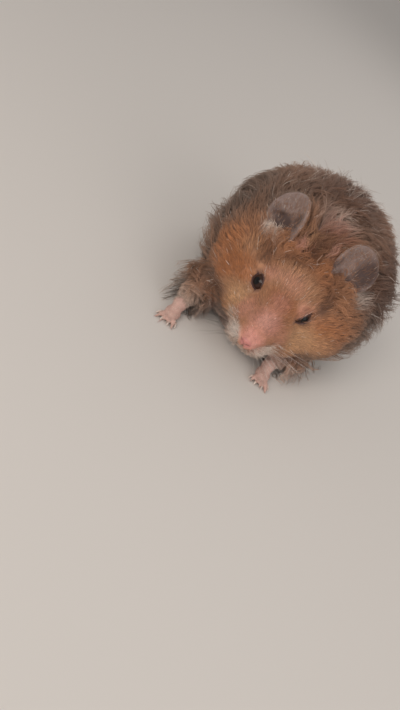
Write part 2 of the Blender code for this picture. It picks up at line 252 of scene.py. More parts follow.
# The skin is one closed surface under the coat.
fleshNodes = [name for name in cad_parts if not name.startswith("eye_")]
eyeSpec = {"radius": 3.3, "lid": 0.42, "around": 48, "rings": 32}  # ball and lid thickness, in millimetres
eyeCentres = {name: middle("eye_" + name) for name in sides}
bareNodes = [name for name in fleshNodes if name.startswith(("ear", "paw", "foot", "tail"))]
furredNodes = [name for name in fleshNodes if name not in bareNodes]
skinSpec = {
    "fuse": 0.3 * mm,  # closes the thin cuts between the nodes
    "underVoxel": 0.8 * mm,  # of the body under its coat
    "voxel": 0.36 * mm,  # of the whole skin
    "steps": 8,
    "even": 14,  # rounds that soften where the depth changes
    "atEye": (0.15, 4.2, 9.0), "atBare": (0.08, 0.3, 6.0),  # share of the depth kept there, from and to
}
# How deep the skin lies under the coat's tips, in millimetres. The head's goes by the distance behind
# the nose tip, and a front leg's by the height of the wrist.
coatDepths = {"trunk": 6.0, "neck": 5.0, "leg_hind": 4.0, "leg_front": 2.2}
headDepths = {"back": (0, 5, 12, 20, 28, 36, 46), "depth": (0.0, 0.12, 0.4, 0.8, 1.5, 2.6, 4.2)}
wristDepths = {"height": (2.0, 6.0, 12.0, 20.0), "depth": (0.35, 0.7, 1.8, 3.0)}


def nodeKind(name):
    return next((kind for kind in coatDepths if name.startswith(kind)), "head")


def joinedNodes(names):
    bm = bmesh.new()
    number = bm.faces.layers.int.new("node")
    for k, name in enumerate(names):
        before = len(bm.faces)
        bm.from_mesh(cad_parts[name].data)
        bm.faces.ensure_lookup_table()
        for face in bm.faces[before:]:
            face[number] = k
    bmesh.ops.remove_doubles(bm, verts=bm.verts, dist=1e-6)
    bm.normal_update()
    return bm


def evened(values, pairs, rounds, share=0.5):  # each point takes up some of its neighbours' mean
    count = len(values)
    degree = np.bincount(pairs.ravel(), minlength=count)
    for _ in range(rounds):
        columns = values.reshape(count, -1)
        means = np.empty_like(columns)
        for k in range(columns.shape[1]):
            total = np.bincount(pairs[:, 0], columns[pairs[:, 1], k], count)
            total += np.bincount(pairs[:, 1], columns[pairs[:, 0], k], count)
            means[:, k] = total / np.maximum(degree, 1)
        values = (columns + (means - columns) * share).reshape(values.shape)
    return values


def remeshed(piece, voxel, rounds=1):
    remesh = piece.modifiers.new("even", "REMESH")
    remesh.mode = "VOXEL"
    remesh.voxel_size = voxel
    soften = piece.modifiers.new("soften", "SMOOTH")
    soften.iterations = rounds
    return applied(piece)


def keepLargest(piece):  # drops the closed bubbles inside
    bm = bmesh.new()
    bm.from_mesh(piece.data)
    unseen = set(bm.verts)
    shells = []
    while unseen:
        todo = [unseen.pop()]
        shell = []
        while todo:
            vert = todo.pop()
            shell.append(vert)
            for edge in vert.link_edges:
                other = edge.other_vert(vert)
                if other in unseen:
                    unseen.discard(other)
                    todo.append(other)
        shells.append(shell)
    shells.sort(key=len)
    bmesh.ops.delete(bm, geom=[vert for shell in shells[:-1] for vert in shell], context="VERTS")
    bm.to_mesh(piece.data)
    bm.free()
    return piece


def addBall(bm, centre, radius):
    place = Matrix.Translation(centre)
    bmesh.ops.create_icosphere(bm, subdivisions=4, radius=radius * mm, matrix=place)


def depthAt(points, tree, kinds, bareTree):
    back = toHead(points)[:, 1]
    onHead = np.interp(back, headDepths["back"], headDepths["depth"])
    onLeg = np.interp(points[:, 2] / mm, wristDepths["height"], wristDepths["depth"])
    depth = np.empty(len(points))
    for k, point in enumerate(points):
        kind = kinds[tree.find_nearest(point)[2]]
        depth[k] = {"head": onHead[k], "leg_front": onLeg[k]}.get(kind, coatDepths.get(kind))
    kept, start, stop = skinSpec["atEye"]
    for centre in eyeCentres.values():
        depth *= kept + (1 - kept) * ease(apart(points, centre) / mm, start, stop)
    kept, start, stop = skinSpec["atBare"]
    depth *= kept + (1 - kept) * ease(howFar(bareTree, points) / mm, start, stop)
    return depth * mm


def makeUnderbody():  # head, neck, trunk and legs, drawn in by the depth of their coat
    bare = joinedNodes(bareNodes)
    bareTree = BVHTree.FromBMesh(bare)
    bare.free()
    bm = joinedNodes(furredNodes)
    tree = BVHTree.FromBMesh(bm)
    number = bm.faces.layers.int["node"]
    kinds = [nodeKind(furredNodes[face[number]]) for face in bm.faces]
    for vert in bm.verts:
        vert.co += vert.normal * skinSpec["fuse"]
    for centre in eyeCentres.values():
        addBall(bm, centre, eyeSpec["radius"])
    under = keepLargest(remeshed(newPiece("underbody", bm), skinSpec["underVoxel"]))
    points = readPoints(under.data)
    pairs = edgePairs(under.data)
    depth = evened(depthAt(points, tree, kinds, bareTree), pairs, skinSpec["even"]) + skinSpec["fuse"]
    furry = ease(depth, 0.8 * mm, 2.5 * mm)[:, None]
    for _ in range(skinSpec["steps"]):
        inward = unit(evened(readNormals(under.data), pairs, 10))
        points = points - inward * (depth / skinSpec["steps"])[:, None]
        points = points + (evened(points, pairs, 3) - points) * furry
        writePoints(under.data, points)
    return under


# How the tail goes on inside the rump, in millimetres.
tailSpec = {"root": 2.2, "inner": 3.4, "sunk": 9.0, "overlap": 2.0, "end": 1.5}


def addTailRoot(bm):  # joins the bare tail to the body under the coat
    spec = tailSpec
    points = readPoints(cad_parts["tail"].data)
    tip = points[points[:, 1].argmax()]
    root = points[points[:, 1] < points[:, 1].min() + spec["end"] * mm].mean(axis=0)
    inward = unit(root - tip)
    place = root + inward * (spec["sunk"] / 2 - spec["overlap"]) * mm
    turn = Vector(inward).to_track_quat("Z", "Y").to_matrix().to_4x4()
    bmesh.ops.create_cone(bm, cap_ends=True, segments=24, depth=spec["sunk"] * mm, radius1=spec["root"] * mm,
                          radius2=spec["inner"] * mm, matrix=Matrix.Translation(place) @ turn)


def makeSkin():
    under = makeUnderbody()
    bm = joinedNodes(bareNodes)
    addTailRoot(bm)
    bm.from_mesh(under.data)
    bpy.data.objects.remove(under)
    for centre in eyeCentres.values():
        addBall(bm, centre, eyeSpec["radius"] + eyeSpec["lid"])
    return keepLargest(remeshed(newPiece("skin", bm), skinSpec["voxel"], 2))


# How each eye looks out, in the head's frame for a positive x, and how wide its lids stand open, in degrees.
gaze = {"towards": (0.66, -0.68, 0.38), "long": (0.80, 0.45, 0.66)}
lidSpecs = {
    "left": {"half": 72.0, "open": 17.5, "shift": 9.5},
    "right": {"half": 84.0, "open": 38.0, "shift": -6.0},
}
lidShape = {
    "behind": 1.3, "rim": 0.16, "rimWidth": 0.4, "reach": (0.7, 2.6), "roundness": 0.62,
    "coarse": 6.2, "fine": 5.5, "edge": 0.5,  # where the skin gets finer
    "within": 5.6,  # how far out it moves
}


def eyeAxes(name):  # columns: along the opening, across it, and the way the eye looks
    side = np.array((sides[name], 1, 1))
    ahead = unit(headAxes @ (np.array(gaze["towards"]) * side))
    along = headAxes @ (np.array(gaze["long"]) * side)
    along = unit(along - ahead * (along @ ahead))
    return np.stack([along, np.cross(ahead, along), ahead], axis=1)


def fromOpening(points, name):  # millimetres outside the edge of the lids, negative in the opening
    spec = lidSpecs[name]
    local = unit(points - np.array(eyeCentres[name])) @ eyeAxes(name)
    along = np.degrees(np.arctan2(local[:, 0], local[:, 2]))
    across = np.degrees(np.arctan2(local[:, 1], local[:, 2])) - spec["shift"]
    share = np.clip(1 - (along / spec["half"]) ** 2, 0, 1) ** lidShape["roundness"]
    beyond = np.maximum(np.abs(along) - spec["half"], 0)
    edge = np.where(beyond > 0, np.hypot(beyond, across), np.abs(across) - spec["open"] * share)
    edge = np.where(local[:, 2] < 0, 90.0, edge)
    return np.radians(edge) * eyeSpec["radius"]


def refined(piece, chosen):  # splits the edges whose two ends are chosen
    bm = bmesh.new()
    bm.from_mesh(piece.data)
    picked = [edge for edge in bm.edges if chosen[edge.verts[0].index] and chosen[edge.verts[1].index]]
    bmesh.ops.subdivide_edges(bm, edges=picked, cuts=1, use_grid_fill=True)
    bmesh.ops.triangulate(bm, faces=[face for face in bm.faces if len(face.verts) > 4])
    bm.to_mesh(piece.data)
    bm.free()


def sculptLids(piece):
    shape = lidShape
    for name, centre in eyeCentres.items():
        refined(piece, near(readPoints(piece.data), centre, shape["coarse"]))
        points = readPoints(piece.data)
        edge = fromOpening(points, name)
        refined(piece, near(points, centre, shape["fine"]) & (np.abs(edge) < shape["edge"]))
        points = readPoints(piece.data)
        edge = fromOpening(points, name)
        offset = points - np.array(centre)
        reach = np.linalg.norm(offset, axis=1)
        outer = eyeSpec["radius"] + eyeSpec["lid"] + shape["rim"] * np.exp(-(edge / shape["rimWidth"]) ** 2)
        target = np.where(edge < 0, eyeSpec["radius"] - shape["behind"], outer) * mm
        share = 1 - ease(edge, *shape["reach"])
        share[reach > shape["within"] * mm] = 0
        moved = np.array(centre) + unit(offset) * (reach + (target - reach) * share)[:, None]
        writePoints(piece.data, moved)


def eyeMesh(name, axes):  # written out, because Blender's own sphere has another order in each run
    around, rings = eyeSpec["around"], eyeSpec["rings"]
    fall, turn = np.arange(1, rings)[:, None] * math.pi / rings, np.arange(around) * 2 * math.pi / around
    sphere = [np.sin(fall) * np.cos(turn), np.sin(fall) * np.sin(turn), np.cos(fall) + 0 * turn]
    points = np.concatenate([[(0, 0, 1)], np.stack(sphere, axis=2).reshape(-1, 3), [(0, 0, -1)]])
    points = np.array(eyeCentres[name]) + points @ axes.T * eyeSpec["radius"] * mm
    last, faces = len(points) - 1, []
    for k in range(around):
        after = (k + 1) % around
        faces += [(0, 1 + k, 1 + after), (last, last - around + after, last - around + k)]
        for start in range(1, last - around, around):
            faces.append((start + k, start + around + k, start + around + after, start + after))
    mesh = bpy.data.meshes.new("eye_ball_" + name)
    mesh.from_pydata(points.tolist(), [], faces)
    return mesh


def makeEye(name):
    axes = eyeAxes(name)
    eye = smoothShaded(placed("eye_ball_" + name, eyeMesh(name, axes)))
    outward = unit(readPoints(eye.data) - np.array(eyeCentres[name]))
    angle = np.degrees(np.arccos(np.clip(outward @ axes[:, 2], -1, 1)))
    ring = eye.data.attributes.new("fromPupil", "FLOAT", "POINT")
    ring.data.foreach_set("value", angle.astype(np.float32) / 90)
    shown(eye, eyeFinish(), "eye", "eye_" + name)


def feed(tree, socket, value):  # links another node's output, or sets the socket's own value
    if isinstance(value, bpy.types.NodeSocket):
        tree.links.new(value, socket)
    else:
        socket.default_value = value


def attributeOf(tree, name, output="Fac"):
    node = tree.nodes.new("ShaderNodeAttribute")
    node.attribute_name = name
    return node.outputs[output]


def rampOf(tree, factor, stops):  # stops: (place, colour) pairs
    node = tree.nodes.new("ShaderNodeValToRGB")
    ramp = node.color_ramp
    while len(ramp.elements) < len(stops):
        ramp.elements.new(0.5)
    for element, (place, colour) in zip(ramp.elements, stops):
        element.position = place
        element.color = (*colour, 1)
    tree.links.new(factor, node.inputs["Fac"])
    return node.outputs["Color"]


def mixOf(tree, factor, first, second, blend="MIX"):
    node = tree.nodes.new("ShaderNodeMix")
    node.data_type = "RGBA"
    node.blend_type = blend
    for socket, value in (("Factor", factor), ("A", first), ("B", second)):
        feed(tree, node.inputs[socket], value)
    return node.outputs["Result"]


def mathOf(tree, operation, first, second, clamp=False):
    node = tree.nodes.new("ShaderNodeMath")
    node.operation = operation
    node.use_clamp = clamp
    feed(tree, node.inputs[0], first)
    feed(tree, node.inputs[1], second)
    return node.outputs["Value"]


def noiseOf(tree, scale, detail):
    node = tree.nodes.new("ShaderNodeTexNoise")
    node.inputs["Scale"].default_value = scale
    node.inputs["Detail"].default_value = detail
    tree.links.new(tree.nodes.new("ShaderNodeTexCoord").outputs["Object"], node.inputs["Vector"])
    return node.outputs["Fac"]


# Grooves and ridges on the face, in the head's frame and millimetres: the line that a stroke follows for
# a positive x, how wide it is, and how far it lifts the skin, or lowers it if negative.
faceStrokes = {
    "nostril": (((0.85, 0.5, -0.1), (1.45, 0.8, 0.2), (2.1, 1.6, 0.0)), 0.5, -0.6),
    "wing": (((0.5, 2.3, 2.3), (1.7, 1.8, 1.7), (2.5, 2.2, 0.4), (2.1, 1.5, -1.0)), 0.55, -0.34),
    "pad": (((0.0, 0.4, 1.3), (1.0, 0.5, 1.1), (1.9, 1.0, 0.9)), 0.8, 0.26),
    "cleft": (((0.0, 0.2, -0.6), (0.0, 0.9, -2.0), (0.0, 2.0, -3.6)), 0.55, -0.6),
    "lip": (((0.0, 2.2, -3.7), (2.2, 3.6, -4.8), (4.6, 6.6, -5.6), (6.2, 10.0, -5.4)), 0.8, -0.75),
    "lipRoll": (((1.0, 2.0, -2.4), (3.0, 3.4, -3.4), (5.6, 6.4, -4.2)), 1.3, 0.4),
    "bridgeSide": (((3.0, 7.5, 5.4), (4.6, 12.0, 6.6), (6.0, 16.0, 7.6)), 2.0, -0.35),
    "brow": (((6.2, 19.0, 11.6), (9.6, 22.0, 12.8), (13.4, 26.0, 11.6)), 1.6, 0.5),
    "underEye": (((7.4, 17.2, 5.2), (10.4, 18.8, 3.4), (13.6, 22.4, 3.6)), 1.5, -0.35),
}
# The same for the ears, each with its own line, on both of their faces.
earStrokes = {
    "rightFold": (((-22.5, 45.5, 20.4), (-18.6, 46.0, 22.4), (-16.1, 45.6, 25.2), (-13.2, 42.6, 29.4)),
                  1.5, 0.62),
    "rightHollow": (((-20.5, 45.0, 18.2), (-16.4, 44.6, 20.0), (-13.6, 42.6, 23.6)), 2.2, -0.75),
    "leftFold": (((15.6, 47.0, 29.0), (15.4, 45.4, 24.6), (13.4, 42.6, 19.6)), 1.5, 0.62),
    "leftHollow": (((19.4, 46.0, 25.0), (18.8, 44.4, 20.6), (16.6, 41.6, 17.6)), 2.4, -0.7),
    "leftRim": (((7.6, 40.4, 27.0), (7.2, 39.2, 23.6), (8.0, 38.2, 19.6)), 1.0, -0.35),
}


def strokeShare(points, line, width):  # 1 on the line, 0 from its width on
    line = np.array(line, float)
    best = np.full(len(points), np.inf)
    for start, end in zip(line, line[1:]):
        along = np.clip((points - start) @ (end - start) / ((end - start) @ (end - start)), 0, 1)
        best = np.minimum(best, np.linalg.norm(points - start - along[:, None] * (end - start), axis=1))
    return 1 - ease(best, 0.0, width)


def sculptEars(piece):
    points = readPoints(piece.data)
    forward = readNormals(piece.data) @ headAxes[:, 1] < 0.1
    pushed = points.copy()
    head = toHead(points)
    for line, width, amount in earStrokes.values():
        share = strokeShare(head, line, width * 1.5) * amount
        pushed += np.outer(share, -headAxes[:, 1]) * mm * np.where(forward, 1.0, 0.8)[:, None]
    writePoints(piece.data, pushed)


def sculptFace(piece):
    refined(piece, near(readPoints(piece.data), fromHead((0, 3, -1)), 7.5))
    refined(piece, near(readPoints(piece.data), fromHead((0, 1, 0)), 3.2))
    points = readPoints(piece.data)
    head = mirrored(toHead(points))
    lift = np.zeros(len(points))
    for line, width, amount in faceStrokes.values():
        lift += strokeShare(head, line, width * 1.6) * amount
    writePoints(piece.data, points + readNormals(piece.data) * (lift * mm)[:, None])


eyeColours = {"pupil": (0.003, 0.002, 0.002), "iris": (0.040, 0.016, 0.010), "edge": (0.014, 0.006, 0.005)}
eyeRings = ((0.0, "pupil"), (0.26, "pupil"), (0.34, "iris"), (0.72, "iris"), (0.85, "edge"))
eyeShine = {"Roughness": 0.3, "Specular IOR Level": 0.1, "Coat Weight": 0.4, "Coat Roughness": 0.03}


def eyeFinish():
    if "eyeShine" in bpy.data.materials:
        return bpy.data.materials["eyeShine"]
    made, tree, shader = finishNamed("eyeShine", eyeShine)
    stops = [(place, eyeColours[name]) for place, name in eyeRings]
    tree.links.new(rampOf(tree, attributeOf(tree, "fromPupil"), stops), shader.inputs["Base Color"])
    return made


# The skin's own shape as arrays, for the lie of the coat.
thinSpec = {"triangles": 112000, "factor": 3.0, "levels": 5, "level": 0.8}
lieSpec = {
    "bodyFlow": (0.22, 0.9, -0.62),  # outward, back and up over the body
    "toBody": (36, 56), "loose": (22, 40), "calm": 0.28,  # behind the nose, from and to, in millimetres
    "swirls": ((0.55, 9.0, 11), (0.22, 3.6, 12)),  # amount, scale and seed
    "rounds": 30,
}
limbEnds = {"leg_front": "paw_front_", "leg_hind": "foot_hind_", "paw": "paw_front_", "foot": "foot_hind_"}


def thinned(piece, triangles, vertexGroup=None):
    count = sum(len(face.vertices) - 2 for face in piece.data.polygons)
    thin = piece.modifiers.new("thin", "DECIMATE")
    thin.ratio = min(1.0, triangles / count)
    if vertexGroup:
        thin.vertex_group = vertexGroup
        thin.vertex_group_factor = thinSpec["factor"]
    return applied(piece)


def thinUnderCoat(piece):  # keeps the face, ears, paws and feet fine
    spec = thinSpec
    depth = howFar(shellTree, readPoints(piece.data))
    group = piece.vertex_groups.new(name="furry")
    for level in range(1, spec["levels"] + 1):
        chosen = np.flatnonzero(depth > level * spec["level"] * mm)
        group.add(chosen.tolist(), level / spec["levels"], "REPLACE")
    thinned(piece, spec["triangles"], "furry")
    piece.vertex_groups.clear()


swirlSpec = {"waves": 10, "gain": 2.2}


def swirlOf(places, scale, seed):  # smooth random vectors over space
    dice = np.random.default_rng(seed)
    turn = dice.normal(size=(3, swirlSpec["waves"], 3)) / scale
    phase = dice.uniform(0, 2 * math.pi, size=(3, swirlSpec["waves"]))
    waves = [np.sin(places @ turn[k].T + phase[k]).mean(axis=1) for k in range(3)]
    return np.stack(waves, axis=1) * swirlSpec["gain"]


def patchOf(places, scale, seed):  # one smooth random number over space, about -1 to 1
    return swirlOf(places, scale, seed)[:, 0]


def onSurface(vectors, normals):  # the part that lies along the surface
    return vectors - normals * (vectors * normals).sum(axis=1, keepdims=True)


def surveySkin(piece):
    mesh = piece.data
    mesh.calc_loop_triangles()
    corners = fetched(mesh.loop_triangles, "vertices", 3, np.int32)
    points = readPoints(mesh)
    pairs = edgePairs(mesh)
    normals = unit(evened(readNormals(mesh), pairs, 3))
    kinds = np.array([cadKinds[cadTree.find_nearest(point)[2]] for point in points.tolist()])
    depth = evened(howFar(shellTree, points), pairs, 4)
    a, b, c = (points[corners[:, k]] for k in range(3))
    survey = {
        "points": points, "normals": normals, "corners": corners, "kinds": kinds, "depth": depth,
        "area": np.linalg.norm(np.cross(b - a, c - a), axis=1) / 2,
    }
    furred = corners[~(kinds[corners] == "ear").any(axis=1)]
    for name, chosen in (("all", corners), ("furred", furred)):
        survey[name] = {"corners": chosen, "tree": BVHTree.FromPolygons(points.tolist(), chosen.tolist())}
    survey["lie"] = lieOver(survey, pairs)
    return survey


def lieOver(survey, pairs):  # which way the hair points, all over the skin
    points, normals, kinds = survey["points"], survey["normals"], survey["kinds"]
    head = toHead(points)
    side = np.tanh(points[:, 0] / (6 * mm))
    onHead = head - np.array((0, -5, 1))
    onHead[:, 0] *= 1.15
    onHead[:, 2] = onHead[:, 2] * 0.7 - 0.12 * np.abs(head[:, 0])
    onHead = unit(onHead) @ headAxes.T
    outward, back, rise = lieSpec["bodyFlow"]
    onBody = np.stack([outward * side, np.full(len(points), back), np.full(len(points), rise)], axis=1)
    flow = onHead + (onBody - onHead) * ease(head[:, 1], *lieSpec["toBody"])[:, None]
    for name, sign in sides.items():
        mine = points[:, 0] * sign > 0
        for kind, foot in limbEnds.items():
            toFoot = unit(np.array(middle(foot + name)) + np.array((0, -8 * mm, 0)) - points)
            if kind == "leg_hind":
                toFoot = unit(toFoot + np.array((0, 1.2, -0.2)))
            flow = np.where((mine & (kinds == kind))[:, None], toFoot, flow)
        earMiddle = np.array(middle("ear_" + name))
        outward = unit(points - earMiddle + np.array((0, 0, 6 * mm)))
        flow = np.where((mine & (kinds == "ear"))[:, None], outward, flow)
    flow = unit(onSurface(flow, normals))
    flow = evened(flow, pairs, lieSpec["rounds"])
    loose = lieSpec["calm"] + (1 - lieSpec["calm"]) * ease(head[:, 1], *lieSpec["loose"])
    for amount, scale, seed in lieSpec["swirls"]:
        flow = flow + swirlOf(points / mm, scale, seed) * (amount * loose)[:, None]
    return unit(onSurface(flow, normals))


def nearestOn(surface, points, places):  # nearest points, their triangles and each corner's share
    hits = [surface["tree"].find_nearest(place) for place in places.tolist()]
    at = np.array([tuple(hit[0]) for hit in hits])
    triangles = np.array([hit[2] for hit in hits])
    a, b, c = (points[surface["corners"][triangles, k]] for k in range(3))
    whole = np.cross(b - a, c - a)
    size = np.maximum((whole * whole).sum(axis=1), 1e-30)
    second = (np.cross(at - a, c - a) * whole).sum(axis=1) / size
    third = (np.cross(b - a, at - a) * whole).sum(axis=1) / size
    return at, triangles, np.clip(np.stack([1 - second - third, second, third], axis=1), 0, 1)


def ontoSkin(survey, places, surface="furred"):  # nearest point, its normal, lie and depth of coat
    at, triangles, shares = nearestOn(survey[surface], survey["points"], places)
    corners = survey[surface]["corners"][triangles]
    normals = unit((survey["normals"][corners] * shares[:, :, None]).sum(axis=1))
    lie = unit(onSurface((survey["lie"][corners] * shares[:, :, None]).sum(axis=1), normals))
    return at, normals, lie, (survey["depth"][corners] * shares).sum(axis=1)


# An unwrap of the skin gives each tuft its place on the map.
bakeSpec = {"map": "OFBake", "triangles": 12000, "margin": 0.004, "patch": 0.003}


def unwrapOf(piece):
    copy = placed("unwrap", piece.data.copy())
    thinned(copy, bakeSpec["triangles"])
    bpy.context.view_layer.objects.active = copy
    for other in bpy.context.selected_objects:
        other.select_set(False)
    copy.select_set(True)
    bpy.ops.object.mode_set(mode="EDIT")
    bpy.ops.mesh.select_all(action="SELECT")
    bpy.ops.uv.smart_project(angle_limit=math.radians(66), island_margin=bakeSpec["margin"])
    bpy.ops.object.mode_set(mode="OBJECT")
    mesh = copy.data
    mesh.calc_loop_triangles()
    points = readPoints(mesh)
    corners = fetched(mesh.loop_triangles, "vertices", 3, np.int32)
    uv = fetched(mesh.uv_layers.active.data, "uv", 2)[fetched(mesh.loop_triangles, "loops", 3, np.int32)]
    tree = BVHTree.FromPolygons(points.tolist(), corners.tolist())
    bpy.data.objects.remove(copy)
    return {"points": points, "corners": corners, "uv": uv, "tree": tree}


def mapPlaces(unwrap, places):
    _, triangles, shares = nearestOn(unwrap, unwrap["points"], places)
    found = (unwrap["uv"][triangles] * shares[:, :, None]).sum(axis=1)
    return np.clip(found, bakeSpec["patch"], 1 - bakeSpec["patch"])


# Markings are soft patches of colour on skin and coat alike. Each has its middle and radii in the head's
# frame and millimetres, and its strength.
markings = {
    "ginger": [
        ((-21, 24, 6), (9, 9, 8), 1.0), ((-27, 30, 6), (8, 10, 9), 0.6), ((24, 26, 6), (10, 10, 8), 0.75),
        ((0, 15, 11), (6, 6, 5), 0.55), ((-5, 36, 18), (8, 7, 6), 0.5), ((6, 35, 18), (8, 6, 6), 0.5),
        ((-30, 24, 4), (8, 8, 8), 0.5), ((1, 16.5, 10.5), (8, 5, 5), 0.8),
    ],
    "honey": [
        ((-14, 17, 1), (7, 6, 5), 0.95), ((15, 18, 2), (9, 8, 7), 0.9), ((24, 20, 3), (8, 8, 7), 0.55),
        ((-12, 14, -2), (7, 6, 5), 0.6), ((0, 24, 15), (11, 6, 6), 0.75), ((-22, 30, 12), (7, 6, 6), 0.4),
        ((-6, 42, 21), (4, 4, 4), 0.6),
    ],
    "rose": [
        ((1, 3, 1), (6, 6, 6), 1.0), ((1, 9, 6), (7, 6.5, 6), 0.7), ((0.5, 15, 10), (5, 6, 5), 0.4),
        ((-7, 12.5, 2.5), (5, 6, 5), 0.42), ((7, 11, 2.5), (4.5, 5, 5), 0.3),
        ((0, 23, 15), (8, 5.5, 5), 0.42), ((-7.5, 24, 13), (5, 4, 4), 0.4),
        ((8.5, 21, 11), (3.6, 5, 4), 0.45), ((-7.5, 38.5, 20.5), (3.2, 3.6, 3.6), 0.6),
        ((4, 42.5, 23), (3, 3.4, 3.4), 0.6), ((0, 24, -16), (28, 16, 10), 0.34),
        ((0, 50, 28), (9, 5, 5), 0.3),
    ],
    "cream": [
        ((1, 9.5, 6.5), (3.6, 4, 3), 0.3), ((-5.8, 4.6, -2.5), (4.2, 4.4, 3), 1.0),
        ((6.4, 5.2, -2.5), (4.2, 4.4, 3), 1.0), ((0, 12, -8), (14, 14, 6), 0.7),
        ((-19, 41, 15), (5, 4, 5), 1.0), ((-14, 38, 14), (5, 3, 3), 0.6), ((25, 44, 15), (6, 5, 5), 0.5),
        ((0, 54, 30), (10, 4, 5), 0.38), ((-6, 50, 29), (5, 4, 4), 0.3),
        ((-7.5, 38.5, 20.5), (2.8, 3, 3), 0.3), ((4, 42.5, 23), (2.8, 3, 3), 0.35),
        # (-13, 19, 5) is a pale rim on the right eye's outer lower lid, partly a painted highlight.
        ((-13, 19, 5), (1.8, 2.2, 1.8), 0.5), ((0, 24, -16), (28, 16, 10), 0.42),
    ],
    "umberAndShade": [
        ((1, 16, 10.5), (7, 4.5, 4), 0.3), ((-2.2, 40, 22), (3.8, 7, 6), 1.0),
        ((0, 47, 26), (7, 4, 5), 0.55), ((1, 37, 20.5), (3.4, 4, 5), 0.75),
        ((-14.5, 31, 15), (4, 7, 5), 0.62), ((-4.5, 31, 18), (7, 3.4, 5), 0.5),
        ((14, 28.5, 13), (2.8, 7.5, 5), 0.68), ((11, 34, 16), (5, 5, 5), 0.5),
        # The patches at (0, 76, 34) over the back and (30, 60, 18) on the left flank are painted shade.
        ((0, 76, 34), (36, 26, 16), 0.72), ((11, 40, 19), (4, 4, 4), 0.6),
        ((30, 60, 18), (17, 26, 20), 0.85), ((-20, 23, 5), (7, 9, 8), 0.2),
    ],
    # Painted shade on the lower cheeks and under the chin.
    "brownAndShade": [
        ((-24, 20, -4), (9, 12, 6), 0.9), ((24, 20, -5), (9, 12, 6), 0.8), ((0, 24, -16), (28, 16, 9), 0.75),
    ],
}


markSpec = {
    "ragged": ((5.0, 21, 1.3), (1.7, 22, 0.45)),  # scale, seed and reach of what frays their edges
    "soft": (0.35, 1.25), "body": (34, 52), "low": (3, 15), "flank": (27, 36),  # from and to
}


def marksAt(points):
    spec = markSpec
    head = toHead(points)
    warped = head
    for scale, seed, reach in spec["ragged"]:
        warped = warped + swirlOf(head, scale, seed) * reach
    marks = {name: patchesOver(warped, patches, *spec["soft"]) for name, patches in markings.items()}
    body = ease(warped[:, 1], *spec["body"])
    low = 1 - ease(points[:, 2] / mm + patchOf(head, 7.0, 23) * 2, *spec["low"])
    # The body behind the head darkens, partly its own darker brown and partly painted shade, and more so
    # towards the flanks.
    brownAndShade = np.maximum(marks["brownAndShade"], body * (0.75 + 0.25 * patchOf(head, 8.0, 24)))
    marks["brownAndShade"] = np.clip(brownAndShade + 0.55 * ease(np.abs(warped[:, 0]), *spec["flank"]), 0, 1)
    marks["cream"] = np.maximum(marks["cream"], low * 0.75)
    marks["ginger"] = np.clip(marks["ginger"] + 0.15 * patchOf(head, 6.0, 25), 0, 1) * (1 - body * 0.7)
    return marks


def writeMarks(mesh, marks):
    parts = list(marks.values())
    writeValues(mesh, "warm", parts[:3])
    writeValues(mesh, "cool", parts[3:])


# The two darkest browns also paint shade: the darkest over the back and left flank, the other over the body
# and under the head.
coatColours = {
    "cinnamon": (0.445, 0.21, 0.11), "ginger": (0.52, 0.20, 0.077), "honey": (0.63, 0.35, 0.185),
    "rose": (0.70, 0.315, 0.25), "cream": (0.80, 0.675, 0.59), "umberAndShade": (0.115, 0.048, 0.028),
    "brownAndShade": (0.205, 0.130, 0.096), "slate": (0.12, 0.085, 0.075), "pale": (0.86, 0.73, 0.64),
}


def valuesOf(tree, name):  # the three values kept under a name
    node = tree.nodes.new("ShaderNodeSeparateXYZ")
    tree.links.new(attributeOf(tree, name, "Vector"), node.inputs["Vector"])
    return list(node.outputs)


def toned(tree, factor, colour, shade):  # the colour, shaded or tinted over by a named one
    return mixOf(tree, factor, colour, (*shade, 1))


def markedColour(tree):  # the colour of the coat at a place, from its marks
    shares = dict(zip(markings, valuesOf(tree, "warm") + valuesOf(tree, "cool")))
    colour = (*coatColours["cinnamon"], 1)
    for name in ("brownAndShade", "ginger", "honey", "umberAndShade", "cream", "rose"):
        colour = toned(tree, shares[name], colour, coatColours[name])
    return colour


furSpec = {"Roughness": 0.62, "Sheen Weight": 0.25, "Sheen Roughness": 0.5,
           "Sheen Tint": (0.95, 0.85, 0.75, 1), "Specular IOR Level": 0.22}
# Grey and colour stops along a strand from its root, and over the strands by chance.
furRamps = {
    "root": [(0.0, (0.75,) * 3), (0.5, (0.0,) * 3)],
    "chance": [(0.0, (0.68,) * 3), (0.5, (0.98,) * 3), (1.0, (1.3,) * 3)],
    "tip": [(0.0, (0.9,) * 3), (0.7, (1.0,) * 3), (1.0, (1.25, 1.2, 1.14))],
}


def coatFinish():
    if "softFur" in bpy.data.materials:
        return bpy.data.materials["softFur"]
    made, tree, shader = finishNamed("softFur", furSpec)
    length, chance, pale = valuesOf(tree, "strand")
    root = mathOf(tree, "MULTIPLY", rampOf(tree, length, furRamps["root"]), 0.62)
    colour = toned(tree, root, markedColour(tree), coatColours["slate"])
    colour = mixOf(tree, 1.0, colour, rampOf(tree, chance, furRamps["chance"]), "MULTIPLY")
    colour = mixOf(tree, 1.0, colour, rampOf(tree, length, furRamps["tip"]), "MULTIPLY")
    tree.links.new(toned(tree, pale, colour, coatColours["pale"]), shader.inputs["Base Color"])
    return made


rootSpec = {"tries": 3.2, "cells": 4000, "first": 1000}  # tries for each cell; how the cells are numbered


